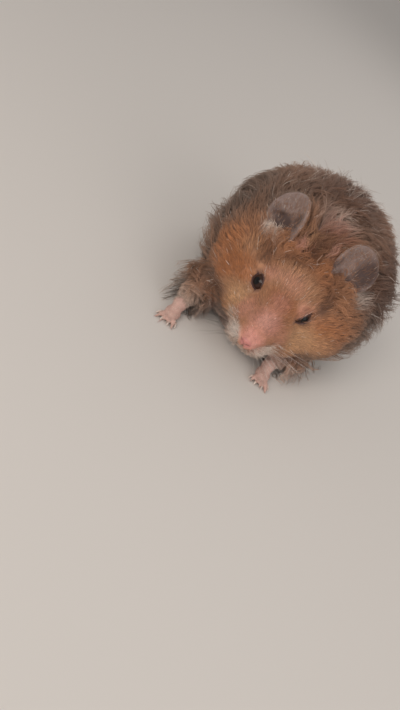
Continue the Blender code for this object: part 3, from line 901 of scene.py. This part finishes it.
def rootsOver(survey, weight, cell, seed):  # about one root to each cell, fewer where the weight is low
    dice = np.random.default_rng(seed)
    corners = survey["corners"]
    share = survey["area"] * np.clip(weight[corners].mean(axis=1), 0, 1)
    wanted = int(share.sum() / cell ** 2 * rootSpec["tries"])
    picked = np.searchsorted(np.cumsum(share) / share.sum(), dice.random(wanted))
    picked = np.minimum(picked, len(corners) - 1)
    first, second = dice.random(wanted), dice.random(wanted)
    over = first + second > 1
    first[over], second[over] = 1 - first[over], 1 - second[over]
    a, b, c = (survey["points"][corners[picked, k]] for k in range(3))
    places = a + (b - a) * first[:, None] + (c - a) * second[:, None]
    keys = np.floor(places / cell + rootSpec["first"]).astype(np.int64)
    code = (keys[:, 0] * rootSpec["cells"] + keys[:, 1]) * rootSpec["cells"] + keys[:, 2]
    firsts = np.unique(code, return_index=True)[1]
    return places[np.sort(firsts)]


def turned(normals, lie, angle):  # the lie, turned about the normal
    return lie * np.cos(angle)[:, None] + np.cross(normals, lie) * np.sin(angle)[:, None]


def clumpPaths(spec, roots, dice):  # the line of each clump over the skin, what is up along it, and its lie
    surface = spec.get("surface", "furred")
    place, normal, lie, depth = ontoSkin(skinMap, roots, surface)
    depth = depth / mm
    clumps, steps = len(roots), spec["rings"]
    length = (spec["base"] + spec["perDepth"] * depth) * dice.uniform(*spec["vary"], clumps)
    lean = np.radians(dice.normal(0, spec["stray"], clumps))
    lie = turned(normal, lie, lean)
    paths, ups, ahead = [place], [normal], lie
    for _ in range(steps):
        step = ahead * (length * mm / steps)[:, None]
        place, normal, there, _ = ontoSkin(skinMap, place + step, surface)
        ahead = turned(normal, there, lean)
        paths.append(place)
        ups.append(normal)
    rise = 1 - (1 - np.linspace(0, 1, steps + 1)) ** spec["rise"]
    lift = depth * spec["lift"] * dice.uniform(*spec["liftVary"], clumps) + spec["stand"] * length
    ups = np.stack(ups, axis=1)
    return np.stack(paths, axis=1) + ups * (lift[:, None] * rise[None, :] * mm)[:, :, None], ups, lie


# How far chance carries a strand's numbers from the tuft's own, and how low it may lie.
strandVary = {
    "turns": (0.7, 1.3), "curl": (0.5, 1.4), "own": (0.4, 1.3), "length": (0.72, 1.0), "width": (0.7, 1.25),
    "clumpShade": 0.16, "shade": 0.17, "pale": (0.3, 0.9), "floor": 0.25,
}


def strandLines(spec, paths, ups, lie, dice):  # strands start round a clump's root and draw in to its tip
    clumps, each = len(paths), spec["strands"]
    t = np.linspace(0, 1, spec["rings"] + 1)
    angle = dice.uniform(0, 2 * math.pi, (clumps, each))
    reach = spec["cell"] * spec["spread"] * mm * np.sqrt(dice.uniform(0, 1, (clumps, each)))
    across = np.cross(ups[:, 0], lie)
    offset = lie[:, None] * (np.cos(angle) * reach)[:, :, None]
    offset = offset + across[:, None] * (np.sin(angle) * reach)[:, :, None]
    pinch = 1 - spec["pinch"] * t ** 1.3
    sideways = unit(np.cross(ups, unit(np.gradient(paths, axis=1))))
    phase = dice.uniform(0, 2 * math.pi, clumps)[:, None]
    turns = spec["turns"] * dice.uniform(*strandVary["turns"], clumps)
    wave = phase + 2 * math.pi * turns[:, None] * t[None, :]
    size = spec["curl"] * dice.uniform(*strandVary["curl"], clumps)[:, None] * t[None, :] ** 0.8 * mm
    curl = sideways * (size * (np.cos(wave) - np.cos(phase)))[:, :, None]
    curl = curl + ups * (size * 0.6 * (np.sin(wave) - np.sin(phase)))[:, :, None]
    lines = (paths + curl)[:, None] + offset[:, :, None] * pinch[None, None, :, None]
    one = (clumps, each, 1)
    own = dice.uniform(0, 2 * math.pi, one) + 2 * math.pi * dice.uniform(*strandVary["own"], one) * t
    wisp = dice.normal(0, 1, one) * t ** 1.5 * spec["wisp"]
    lines = lines + sideways[:, None] * ((np.sin(own) * spec["wave"] * t + wisp)[..., None] * mm)
    lines = lines + ups[:, None] * (dice.normal(0, 1, one) * t * spec["wisp"] * 0.6)[..., None] * mm
    start = lines[:, :, :1]
    lines = start + (lines - start) * dice.uniform(*strandVary["length"], (*one, 1))
    lines[:, :, 0] -= ups[:, None, 0] * spec["sunk"] * mm
    lines = lines.reshape(clumps * each, -1, 3)
    lines[:, :, 2] = np.maximum(lines[:, :, 2], strandVary["floor"] * mm)
    return lines


def growTufts(name, spec, weight, seed):
    dice, vary = np.random.default_rng(seed), strandVary
    roots = rootsOver(skinMap, weight, spec["cell"] * mm, seed)
    paths, ups, lie = clumpPaths(spec, roots, dice)
    lines = strandLines(spec, paths, ups, lie, dice)
    each, count = spec["strands"], len(lines)
    chance = 0.5 + np.repeat(dice.normal(0, vary["clumpShade"], len(roots)), each)
    chance = chance + dice.normal(0, vary["shade"], count)
    pale = (dice.random(count) < spec["pale"]) * dice.uniform(*vary["pale"], count)
    width = spec["width"] * mm * dice.uniform(*vary["width"], count)
    looks = (np.clip(chance, 0, 1), pale)
    tuftMesh(name, lines, np.repeat(ups, each, axis=0), width, looks, coatFinish(), "coat")


# A strand is a three-sided tapering lock: its width along it, how flat it is, and how far its normals
# follow the body.
strandShape = {
    "at": (0, 0.25, 0.6, 0.85, 1.0), "width": (0.7, 1.0, 0.85, 0.5, 0.0), "flat": 0.6, "soft": 0.55,
}


def strandFaces(last):
    faces = [(0, 2, 1)]
    for k in range(last - 1):
        for j in range(3):
            a, b = 3 * k + j, 3 * k + (j + 1) % 3
            faces += [(a, b, b + 3), (a, b + 3, a + 3)]
    top = 3 * (last - 1)
    faces += [(top, top + 1, 3 * last), (top + 1, top + 2, 3 * last), (top + 2, top, 3 * last)]
    return np.array(faces)


def strandMap(faces, last):  # a strand's own small patch, and how far along it each point lies
    points = 3 * last + 1
    across = np.array([(-0.5, 0.0, 0.5)[v % 3] if v < 3 * last else 0.0 for v in range(points)])
    length = np.array([v // 3 / last for v in range(points)])
    local = np.stack([across[faces], (length - 0.5)[faces]], axis=2)
    local[0, 2, 1] -= 0.2
    return local, length


def tuftMesh(name, lines, ups, width, looks, finish, slot):
    count, last = lines.shape[0], lines.shape[1] - 1
    tangent = unit(np.gradient(lines, axis=1))
    side = unit(np.cross(ups, tangent))
    above = np.cross(tangent, side)
    profile = np.interp(np.linspace(0, 1, last + 1), strandShape["at"], strandShape["width"])
    corner = np.radians((-30.0, 90.0, 210.0))[:, None]
    half = (width[:, None] * profile[None, :-1] / 2)[:, :, None, None]
    ring = side[:, :-1, None] * np.cos(corner) + above[:, :-1, None] * np.sin(corner) * strandShape["flat"]
    rings = lines[:, :-1, None] + ring * half  # strand, ring, corner, xyz
    verts = np.concatenate([rings.reshape(count, -1, 3), lines[:, -1:]], axis=1)
    perStrand = 3 * last + 1
    faces = strandFaces(last)
    index = (faces[None] + np.arange(count)[:, None, None] * perStrand).reshape(-1)
    mesh = bpy.data.meshes.new(name)
    mesh.vertices.add(count * perStrand)
    mesh.vertices.foreach_set("co", verts.astype(np.float32).ravel())
    mesh.loops.add(len(index))
    mesh.loops.foreach_set("vertex_index", index.astype(np.int32))
    mesh.polygons.add(len(index) // 3)
    mesh.polygons.foreach_set("loop_start", np.arange(0, len(index), 3, dtype=np.int32))
    mesh.update(calc_edges=True)
    mesh.polygons.foreach_set("use_smooth", np.ones(len(index) // 3, bool))
    local, length = strandMap(faces, last)
    uv = mapPlaces(skinUnwrap, lines[:, 0])[:, None, None] + local[None] * bakeSpec["patch"]
    mesh.uv_layers.new(name=bakeSpec["map"]).data.foreach_set("uv", uv.astype(np.float32).ravel())
    seen = lines[:, -2] * 0.6 + lines[:, 0] * 0.4  # where the strand is seen, give or take
    seen = seen + np.random.default_rng(count).normal(0, 0.7 * mm, seen.shape)
    writeMarks(mesh, {key: np.repeat(value, perStrand) for key, value in marksAt(seen).items()})
    writeValues(mesh, "strand", [np.tile(length, count), *(np.repeat(look, perStrand) for look in looks)])
    own = (ring / np.linalg.norm(ring, axis=-1, keepdims=True)).reshape(count, -1, 3)
    own = np.concatenate([own, above[:, -1:]], axis=1)
    soft = np.concatenate([np.repeat(ups[:, :-1], 3, axis=1), ups[:, -1:]], axis=1)
    blended = unit(own * (1 - strandShape["soft"]) + soft * strandShape["soft"]).reshape(-1, 3)
    mesh.normals_split_custom_set_from_vertices(blended.astype(np.float32).tolist())
    shown(placed(name, mesh), finish, slot)
    print("  " + name, count, "strands,", len(index) // 3, "triangles")


# Painted shade in the ears' hollows, in the head's frame and millimetres.
earShades = [
    ((-16.5, 43.5, 18.5), (7.5, 5, 4.6), 1.0), ((-12.6, 42, 23.5), (2.8, 4, 4.5), 0.85),
    ((-21, 45, 19), (4, 4, 3), 0.7), ((19.5, 45.5, 23), (6, 6, 9), 1.0), ((17, 41, 17), (6, 6, 5), 1.0),
    ((7.4, 39, 23), (1.3, 3, 4), 0.8),
]
nosePad = ((0, 0.6, 0.2), (2.7, 1.6, 1.9), 1.0)
creases = {"nostril": 0.6, "cleft": 0.6, "lip": 0.9, "width": 0.75}  # how dark the painted shade in the strokes is, and how wide
skinColours = {
    "pink": (0.58, 0.36, 0.30), "nose": (0.60, 0.235, 0.205), "lilac": (0.275, 0.20, 0.18),
    "hollowShade": (0.085, 0.05, 0.043), "lid": (0.09, 0.042, 0.036), "creaseShade": (0.13, 0.045, 0.038),
}


def writeSkinMarks(mesh, survey):
    points, kinds = survey["points"], survey["kinds"]
    head = toHead(points)
    pairs = edgePairs(mesh)
    ear = evened((kinds == "ear").astype(float), pairs, 6)
    pink = evened(np.isin(kinds, ("paw", "foot", "tail")).astype(float), pairs, 8)
    pad = patchesOver(head, [nosePad], 0.8, 1.15)
    folded = mirrored(head)
    shade = np.zeros(len(points))
    # Painted shade in the nostrils, the cleft and along the lips.
    for name in ("nostril", "cleft", "lip"):
        creaseShade = strokeShare(folded, faceStrokes[name][0], creases["width"])
        shade = np.maximum(shade, creaseShade * creases[name])
    warped = head + swirlOf(head, 3.0, 26) * 0.8
    # Off the head it is the painted shade in the ears' hollows.
    shade = np.where(kinds == "head", shade, patchesOver(warped, earShades, 0.45, 1.2))
    survey["shade"] = shade
    lids = np.zeros(len(points))
    for name, centre in eyeCentres.items():
        close = near(points, centre, lidShape["within"])
        lids = np.maximum(lids, close * (1 - ease(fromOpening(points, name), 0.3, 0.95)))
    writeValues(mesh, "bare", (ear, pink, pad))
    writeValues(mesh, "detail", (shade, lids, survey["depth"] / (6 * mm)))


def bumpOf(tree, shader, height, strength, distance):
    bump = tree.nodes.new("ShaderNodeBump")
    bump.inputs["Strength"].default_value = strength
    bump.inputs["Distance"].default_value = distance
    tree.links.new(height, bump.inputs["Height"])
    tree.links.new(bump.outputs["Normal"], shader.inputs["Normal"])


def skinFinish():
    made, tree, shader = finishNamed("warmSkin", {"Specular IOR Level": 0.35, "Sheen Weight": 0.12})
    ear, pink, pad = valuesOf(tree, "bare")
    shade, lids, deep = valuesOf(tree, "detail")
    deep = mathOf(tree, "MULTIPLY", deep, 1.2, clamp=True)
    colour = toned(tree, deep, markedColour(tree), coatColours["slate"])
    # The ears' own lilac skin, with painted shade in their hollows.
    colour = mixOf(tree, ear, colour, toned(tree, shade, (*skinColours["lilac"], 1), skinColours["hollowShade"]))
    colour = toned(tree, pink, colour, skinColours["pink"])
    colour = toned(tree, pad, colour, skinColours["nose"])
    # Painted shade in the nostrils, the cleft and along the lips, off the ears.
    creaseShade = mathOf(tree, "MULTIPLY", shade, mathOf(tree, "SUBTRACT", 1.0, ear))
    colour = toned(tree, creaseShade, colour, skinColours["creaseShade"])
    colour = toned(tree, lids, colour, skinColours["lid"])
    fleck = rampOf(tree, noiseOf(tree, 420.0, 4.0), [(0.3, (0.84,) * 3), (0.7, (1.12,) * 3)])
    tree.links.new(mixOf(tree, 1.0, colour, fleck, "MULTIPLY"), shader.inputs["Base Color"])
    damp = mathOf(tree, "MULTIPLY", mathOf(tree, "MAXIMUM", pad, lids), 0.28)
    tree.links.new(mathOf(tree, "SUBTRACT", 0.62, damp), shader.inputs["Roughness"])
    bumpOf(tree, shader, noiseOf(tree, 2600.0, 2.0), 0.35, 0.00022)
    return made


# Where the digits fan out, for a positive x, in millimetres and degrees.
hindKnuckles = {"knuckles": (29.01, 6.82, 1.4), "turn": 12.0}
digitSpecs = {
    "paw_front_left": {"knuckles": (14.52, -38.98, 1.25), "turn": 5.0},
    "paw_front_right": {"knuckles": (27.81, -44.0, 1.25), "turn": 2.0},
    "foot_hind_left": hindKnuckles, "foot_hind_right": hindKnuckles,
}
fingerSpec = {"count": 4, "length": 5.4, "spread": 17.0, "fan": 3.4, "drop": 0.55, "shorter": 0.14}
toeSpec = dict(fingerSpec, count=5, length=4.6, spread=12.5, drop=0.6)
clawSpec = {
    "root": 0.5, "raised": 0.1, "reach": 2.5, "radius": 0.58, "hook": 0.42, "steps": 6, "floor": 0.05,
}


def digitEnds(node):  # each digit's end and the way it points, in millimetres
    spec = digitSpecs[node]
    side = sides[node.rsplit("_", 1)[1]]
    digit = fingerSpec if node.startswith("paw") else toeSpec
    turn = math.radians(spec["turn"])
    forward = Vector((math.sin(turn) * side, -math.cos(turn), 0))
    x, y, z = spec["knuckles"]
    middleDigit = (digit["count"] - 1) / 2
    for k in range(digit["count"]):
        reach = Matrix.Rotation(math.radians((k - middleDigit) * digit["spread"]), 3, "Z") @ forward
        start = Vector((x * side, y, z)) + reach + (reach - forward) * digit["fan"]
        length = digit["length"] * (1 - digit["shorter"] * abs(k - middleDigit))
        yield start + reach * length - up * digit["drop"], reach


stubSpec = {"from": 0.3, "to": 4, "aside": 1.3, "kept": 0.12, "narrow": 0.75}  # along and beside a digit


def retractStubs(piece):  # rounds off the digits where the claws take over
    spec = stubSpec
    points = readPoints(piece.data) / mm
    for node in digitSpecs:
        for end, reach in digitEnds(node):
            offset = points - np.array(end)
            along = offset @ np.array(reach)
            aside = offset - along[:, None] * np.array(reach)
            picked = (along > spec["from"]) & (along < spec["to"])
            picked = picked & (np.linalg.norm(aside, axis=1) < spec["aside"])
            kept = spec["from"] + spec["kept"] * (along[picked] - spec["from"])
            points[picked] = np.array(end) + np.array(reach) * kept[:, None] + aside[picked] * spec["narrow"]
    writePoints(piece.data, points * mm)


def clawTaper(t):
    return 1 - t ** 1.8 * 0.86


def addClaw(bm, end, reach):
    spec = clawSpec
    start = Vector(end) - Vector(reach) * spec["root"] + up * spec["raised"]
    turn = Vector(reach).to_track_quat("Z", "Y").to_matrix().to_4x4()
    rim = bmesh.ops.create_circle(bm, cap_ends=True, segments=10, radius=spec["radius"] * mm,
                                  matrix=Matrix.Translation(start * mm) @ turn)["verts"]
    cap = next(face for face in bm.faces if face.verts[0] in rim and len(face.verts) == 10)
    base = bmesh.ops.duplicate(bm, geom=[cap])["geom"]
    bmesh.ops.reverse_faces(bm, faces=[face for face in base if isinstance(face, bmesh.types.BMFace)])
    for k in range(spec["steps"]):
        cap = bmesh.ops.extrude_discrete_faces(bm, faces=[cap])["faces"][0]
        t = (k + 1) / spec["steps"]
        step = Vector(reach) * (spec["reach"] / spec["steps"])
        step = step - up * (spec["hook"] * (2 * t - 0.6) / spec["steps"] * 1.4)
        bmesh.ops.translate(bm, vec=step * mm, verts=cap.verts)
        shrink = clawTaper(t) / clawTaper(t - 1 / spec["steps"])
        centre = Matrix.Translation(-cap.calc_center_median())
        bmesh.ops.scale(bm, vec=(shrink,) * 3, space=centre, verts=cap.verts)


def makeClaws():
    bm = bmesh.new()
    for node in digitSpecs:
        for end, reach in digitEnds(node):
            addClaw(bm, end, reach)
    bmesh.ops.remove_doubles(bm, verts=bm.verts, dist=1e-6)
    for vert in bm.verts:
        vert.co.z = max(vert.co.z, clawSpec["floor"] * mm)
    bmesh.ops.recalc_face_normals(bm, faces=bm.faces)
    claws = smoothShaded(newPiece("claws", bm))
    made, tree, shader = finishNamed("paleHorn", {"Roughness": 0.35})
    grain = rampOf(tree, noiseOf(tree, 900.0, 3.0), [(0.3, (0.62, 0.50, 0.44)), (0.7, (0.80, 0.70, 0.62))])
    tree.links.new(grain, shader.inputs["Base Color"])
    shown(claws, made, "claw")


whiskerSpec = {
    "rows": 4, "columns": 5, "length": (13.0, 22.0), "width": 0.08, "rings": 8, "seed": 61,
    "front": (5.2, 3.6, -1.2), "back": (8.6, 9.5, 0.6), "rowStep": (0.1, 0.4, -1.25), "sag": 3.2,
    "outward": 0.35, "sunk": 0.2, "floor": 0.3,
    "vary": {  # by chance
        "place": (-0.2, 0.2), "aim": 0.09, "length": (0.8, 1.1), "sag": (0.3, 1.2), "width": (0.8, 1.15),
    },
}


def whiskerLine(spec, side, row, column, dice):
    vary = spec["vary"]
    share = (column + dice.uniform(*vary["place"])) / (spec["columns"] - 1)
    place = np.array(spec["front"]) * (1 - share) + np.array(spec["back"]) * share
    place = (place + np.array(spec["rowStep"]) * row) * (side, 1, 1)
    start, normal = (found[0] for found in ontoSkin(skinMap, fromHead(place)[None])[:2])
    aim = np.array((side * (1.0 - 0.1 * row), -0.30 + 0.55 * share, 0.34 - 0.24 * row))
    aim = aim + dice.normal(0, vary["aim"], 3)
    aim = unit(aim @ headAxes.T + normal * spec["outward"])
    shortest, longest = spec["length"]
    length = (shortest + (longest - shortest) * share) * dice.uniform(*vary["length"]) * mm
    sag = np.array((0, 0.5, -0.75)) * spec["sag"] * dice.uniform(*vary["sag"]) * mm
    t = np.linspace(0, 1, spec["rings"] + 1)[:, None]
    path = start - normal * spec["sunk"] * mm + aim * (length * t) + sag * t ** 2
    path[:, 2] = np.maximum(path[:, 2], spec["floor"] * mm)
    return path, np.repeat(np.cross(aim, (0, 1, 0.2))[None], len(t), axis=0)


def makeWhiskers():
    spec = whiskerSpec
    dice = np.random.default_rng(spec["seed"])
    places = [(side, row, column) for side in sides.values() for row in range(spec["rows"])
              for column in range(spec["columns"])]
    lines, ups = zip(*[whiskerLine(spec, *place, dice) for place in places])
    count = len(lines)
    width = spec["width"] * mm * dice.uniform(*spec["vary"]["width"], count)
    made, tree, shader = finishNamed("paleWhisker", {"Roughness": 0.4})
    stops = [(0.0, (0.50, 0.40, 0.34)), (0.6, (0.80, 0.74, 0.68))]
    colour = rampOf(tree, valuesOf(tree, "strand")[0], stops)
    tree.links.new(colour, shader.inputs["Base Color"])
    looks = (np.full(count, 0.6), np.zeros(count))
    tuftMesh("whiskers", np.array(lines), unit(np.array(ups)), width, looks, made, "whisker")


def zonesOver(survey):  # which piece of the coat grows where
    points, normals, kinds = survey["points"], survey["normals"], survey["kinds"]
    head = toHead(points)
    across, back = np.abs(head[:, 0]), head[:, 1]
    wander = patchOf(head, 4.0, 51) * 1.6
    ragged = patchOf(head, 0.9, 52) * 3.2  # mixes the hair of two zones where they meet
    onHead, upward = kinds == "head", normals[:, 2]
    x, y = points[:, 0] / mm, points[:, 1] / mm + wander
    tests = {
        "ears": kinds == "ear",
        "feet": np.isin(kinds, ("paw", "foot", "tail")),
        "legsFront": kinds == "leg_front",
        "legsHind": kinds == "leg_hind",
        "lips": onHead & (head[:, 2] + ragged * 0.35 < -0.2) & (back + ragged < 10.5) & (across > 1.6)
                & (normals @ headAxes[:, 2] < 0.5),
        "crown": (back + wander + ragged > 31) & (back + wander < 60) & (across < 17) & (upward > 0.15),
        "cheeks": onHead & (across + wander + ragged * 0.5 > 10.5) & (back + ragged > 15),
        "face": onHead,
        "chest": (y < 0) & (upward < 0.1) & (points[:, 2] < 26 * mm),
        "belly": upward < -0.45,
        "shoulders": y < 8,
        "back": upward > 0.72,
        "left": x > 0,
        "right": x <= 0,
    }
    numbers = {name: k + 1 for k, name in enumerate(tests)}
    return np.select(list(tests.values()), list(numbers.values())), numbers


# A tuft's measures are in millimetres, its stray in degrees. Its length is the base and a share of the
# coat's depth, and it rises by the lift's share of that depth.
bodyTuft = {
    "cell": 1.3, "strands": 6, "rings": 4, "base": 1.6, "perDepth": 1.75, "vary": (0.8, 1.25), "stray": 15,
    "lift": 0.9, "liftVary": (0.6, 1.08), "rise": 1.7, "stand": 0.02, "spread": 0.8, "pinch": 0.5,
    "curl": 0.5, "turns": 0.7, "wave": 0.3, "wisp": 0.5, "sunk": 0.35, "width": 0.23, "pale": 0.012,
}
faceTuft = {
    "cell": 0.55, "strands": 3, "rings": 2, "base": 0.8, "perDepth": 2.2, "vary": (0.75, 1.3), "stray": 9,
    "lift": 0.9, "liftVary": (0.6, 1.1), "rise": 1.6, "stand": 0.05, "spread": 0.75, "pinch": 0.3,
    "curl": 0.05, "turns": 0.4, "wave": 0.05, "wisp": 0.12, "sunk": 0.12, "width": 0.15, "pale": 0.008,
}
coatPieces = {  # zone, tuft and seed
    "coat_face": ("face", dict(faceTuft, cell=0.555), 31),
    "coat_cheeks": ("cheeks", dict(faceTuft, cell=1.06, strands=4, rings=3, base=1.4, perDepth=2.0,
                                   curl=0.18, wave=0.15, wisp=0.3, width=0.19, stray=12, spread=0.85,
                                   pinch=0.45), 32),
    "coat_crown": ("crown", dict(bodyTuft, cell=1.6, strands=10, base=5.2, perDepth=1.1, stray=34, lift=1.0,
                                 curl=1.25, turns=0.95, pinch=0.72, stand=0.14, width=0.2), 33),
    "coat_shoulders": ("shoulders", dict(bodyTuft, cell=1.5, lift=1.05, stand=0.05), 34),
    "coat_chest": ("chest", dict(bodyTuft, rings=3, cell=1.8, base=3.0, perDepth=1.9, lift=1.1,
                                 stand=0.1), 42),
    "coat_back": ("back", dict(bodyTuft, cell=1.45, width=0.24), 35),
    "coat_left": ("left", dict(bodyTuft, cell=1.4), 36),
    "coat_right": ("right", dict(bodyTuft, cell=1.45, lift=1.05, stand=0.05), 37),
    "coat_belly": ("belly", dict(bodyTuft, rings=3, cell=1.8), 38),
    "coat_hind_legs": ("legsHind", dict(bodyTuft, cell=2.25, width=0.25), 39),
    "coat_front_legs": ("legsFront", dict(bodyTuft, rings=3, cell=0.95, strands=5, base=1.1, perDepth=2.3,
                                          lift=1.1, stand=0.12, stray=16, curl=0.3, wave=0.2, wisp=0.4,
                                          width=0.18), 40),
    "coat_lips": ("lips", dict(faceTuft, rings=3, base=2.6, stand=0.34, stray=24, curl=0.15, wave=0.12,
                               wisp=0.4, width=0.14, pale=0.6), 46),
    "coat_ears": ("ears", dict(faceTuft, surface="all", cell=0.6, strands=2, base=1.5, stand=0.06, stray=18,
                               width=0.085, pale=0.12), 43),
    "coat_feet": ("feet", dict(faceTuft, surface="all", cell=0.8, strands=2, base=0.75, width=0.11,
                               pale=0.5), 44),
}
ruffTuft = dict(bodyTuft, cell=1.72, strands=7, base=6.0, perDepth=0.9, stray=24, stand=0.5, curl=0.9,
                turns=0.6, pinch=0.4, width=0.2, wisp=0.8, pale=0.04)
bibTuft = dict(ruffTuft, cell=1.9, strands=8, base=9.5, perDepth=0.6, stray=18, stand=0.6, curl=1.0,
               pinch=0.5, width=0.22)
fuzzTuft = dict(faceTuft, rings=3, cell=0.75, base=3.0, stray=34, stand=0.62, curl=0.2, wave=0.15, wisp=0.45,
                width=0.13, pale=0.95)
guardTuft = dict(bodyTuft, cell=2.7, strands=2, base=5.0, perDepth=1.3, stray=40, stand=0.32, curl=1.3,
                 turns=0.9, pinch=0.2, width=0.14, pale=0.4)
# Where they grow, as the markings are given, but the ruff and the bib in the model's own frame.
ruffPlaces = [
    ((0, -27, 6), (27, 12, 9), 1.0), ((-33, -12, 15), (9, 22, 13), 1.0), ((34, -12, 15), (8, 20, 12), 1.0),
    ((16, -36, 8), (10, 10, 8), 1.0), ((-20, -33, 8), (9, 9, 8), 1.0), ((6, -34, 5), (16, 8, 6), 1.0),
]
bibPlaces = [
    ((18, -33, 6), (13, 9, 7), 1.0), ((31, -20, 8), (10, 14, 8), 1.0), ((0, -32, 5), (14, 8, 6), 1.0),
]
fuzzPlaces = [((-5.4, 5.2, -2.6), (3.4, 5.5, 2.6), 1.0), ((6.6, 5.2, -2.6), (3.4, 5.5, 2.6), 1.0)]
wiryPlaces = [((-18, 74, 27), (13, 12, 12), 1.0)]

print("skin")
cad = joinedNodes(fleshNodes)
cadTree = BVHTree.FromBMesh(cad)
cadNumber = cad.faces.layers.int["node"]
cadKinds = [fleshNodes[face[cadNumber]].rsplit("_left")[0].rsplit("_right")[0] for face in cad.faces]
cadKinds = [kind.replace("paw_front", "paw").replace("foot_hind", "foot") for kind in cadKinds]
shell = keepLargest(remeshed(newPiece("shell", cad), skinSpec["underVoxel"]))
shellFaces = [face.vertices[:] for face in shell.data.polygons]
shellTree = BVHTree.FromPolygons(readPoints(shell.data).tolist(), shellFaces)
bpy.data.objects.remove(shell)
skin = makeSkin()
thinUnderCoat(skin)
for sculpt in (sculptEars, sculptFace, sculptLids, retractStubs):
    sculpt(skin)
for name in sides:
    makeEye(name)
print("  skin has", sum(len(face.vertices) - 2 for face in skin.data.polygons), "triangles")
smoothShaded(skin)
skinMap = surveySkin(skin)
writeMarks(skin.data, marksAt(skinMap["points"]))
writeSkinMarks(skin.data, skinMap)
shown(skin, skinFinish(), "coat", *fleshNodes)

print("coat")
skinUnwrap = unwrapOf(skin)
zones, zoneNumber = zonesOver(skinMap)
points, kinds, upward = skinMap["points"], skinMap["kinds"], skinMap["normals"][:, 2]
head = toHead(points)
clear = ease(apart(head * np.array((1, 0.8, 1)), (0, 0, 0)), 2.5, 4.5)  # off the nose and the lids
for name, centre in eyeCentres.items():
    lid = ease(fromOpening(points, name), 0.25, 0.8)
    clear = clear * np.where(near(points, centre, 6.5), lid, 1.0)
offWrist = np.ones(len(head))
for name in sides:
    offWrist = offWrist * ease(apart(points, middle("paw_front_" + name)) / mm, 12, 18)
weights = {
    "feet": ease(upward, 0.1, 0.5) * 0.6,
    "legsFront": clear * np.maximum(offWrist, ease(upward, -0.2, 0.4)),
}
for name, (zone, spec, seed) in coatPieces.items():
    weight = weights.get(zone, clear * (1 - 0.9 * skinMap["shade"]))
    growTufts(name, spec, (zones == zoneNumber[zone]) * weight, seed)
onBody = np.isin(kinds, ("neck", "trunk", "leg_front"))
onHead = (kinds == "head") & (head[:, 1] > 13)
ruff = patchesOver(points / mm, ruffPlaces, 0.6, 1.1) * (onBody | (onHead & (head[:, 2] < -6)))
bib = patchesOver(mirrored(points / mm), bibPlaces, 0.6, 1.1) * (onBody | (kinds == "head"))
bib = bib * (upward < 0.3) * (head[:, 1] > 13) * (head[:, 2] < -5)
furry = np.isin(zones, [zoneNumber[zone] for zone in ("shoulders", "back", "left", "right")])
wiry = np.maximum(patchesOver(head, wiryPlaces, 0.5, 1.1), 0.015)
growTufts("coat_bib", bibTuft, bib * offWrist, 49)
growTufts("coat_fuzz", fuzzTuft, patchesOver(head, fuzzPlaces, 0.6, 1.15) * clear, 48)
growTufts("coat_ruff", ruffTuft, ruff * offWrist * (upward < 0.4), 47)
growTufts("coat_guard", guardTuft, wiry * furry, 45)
makeClaws()
makeWhiskers()
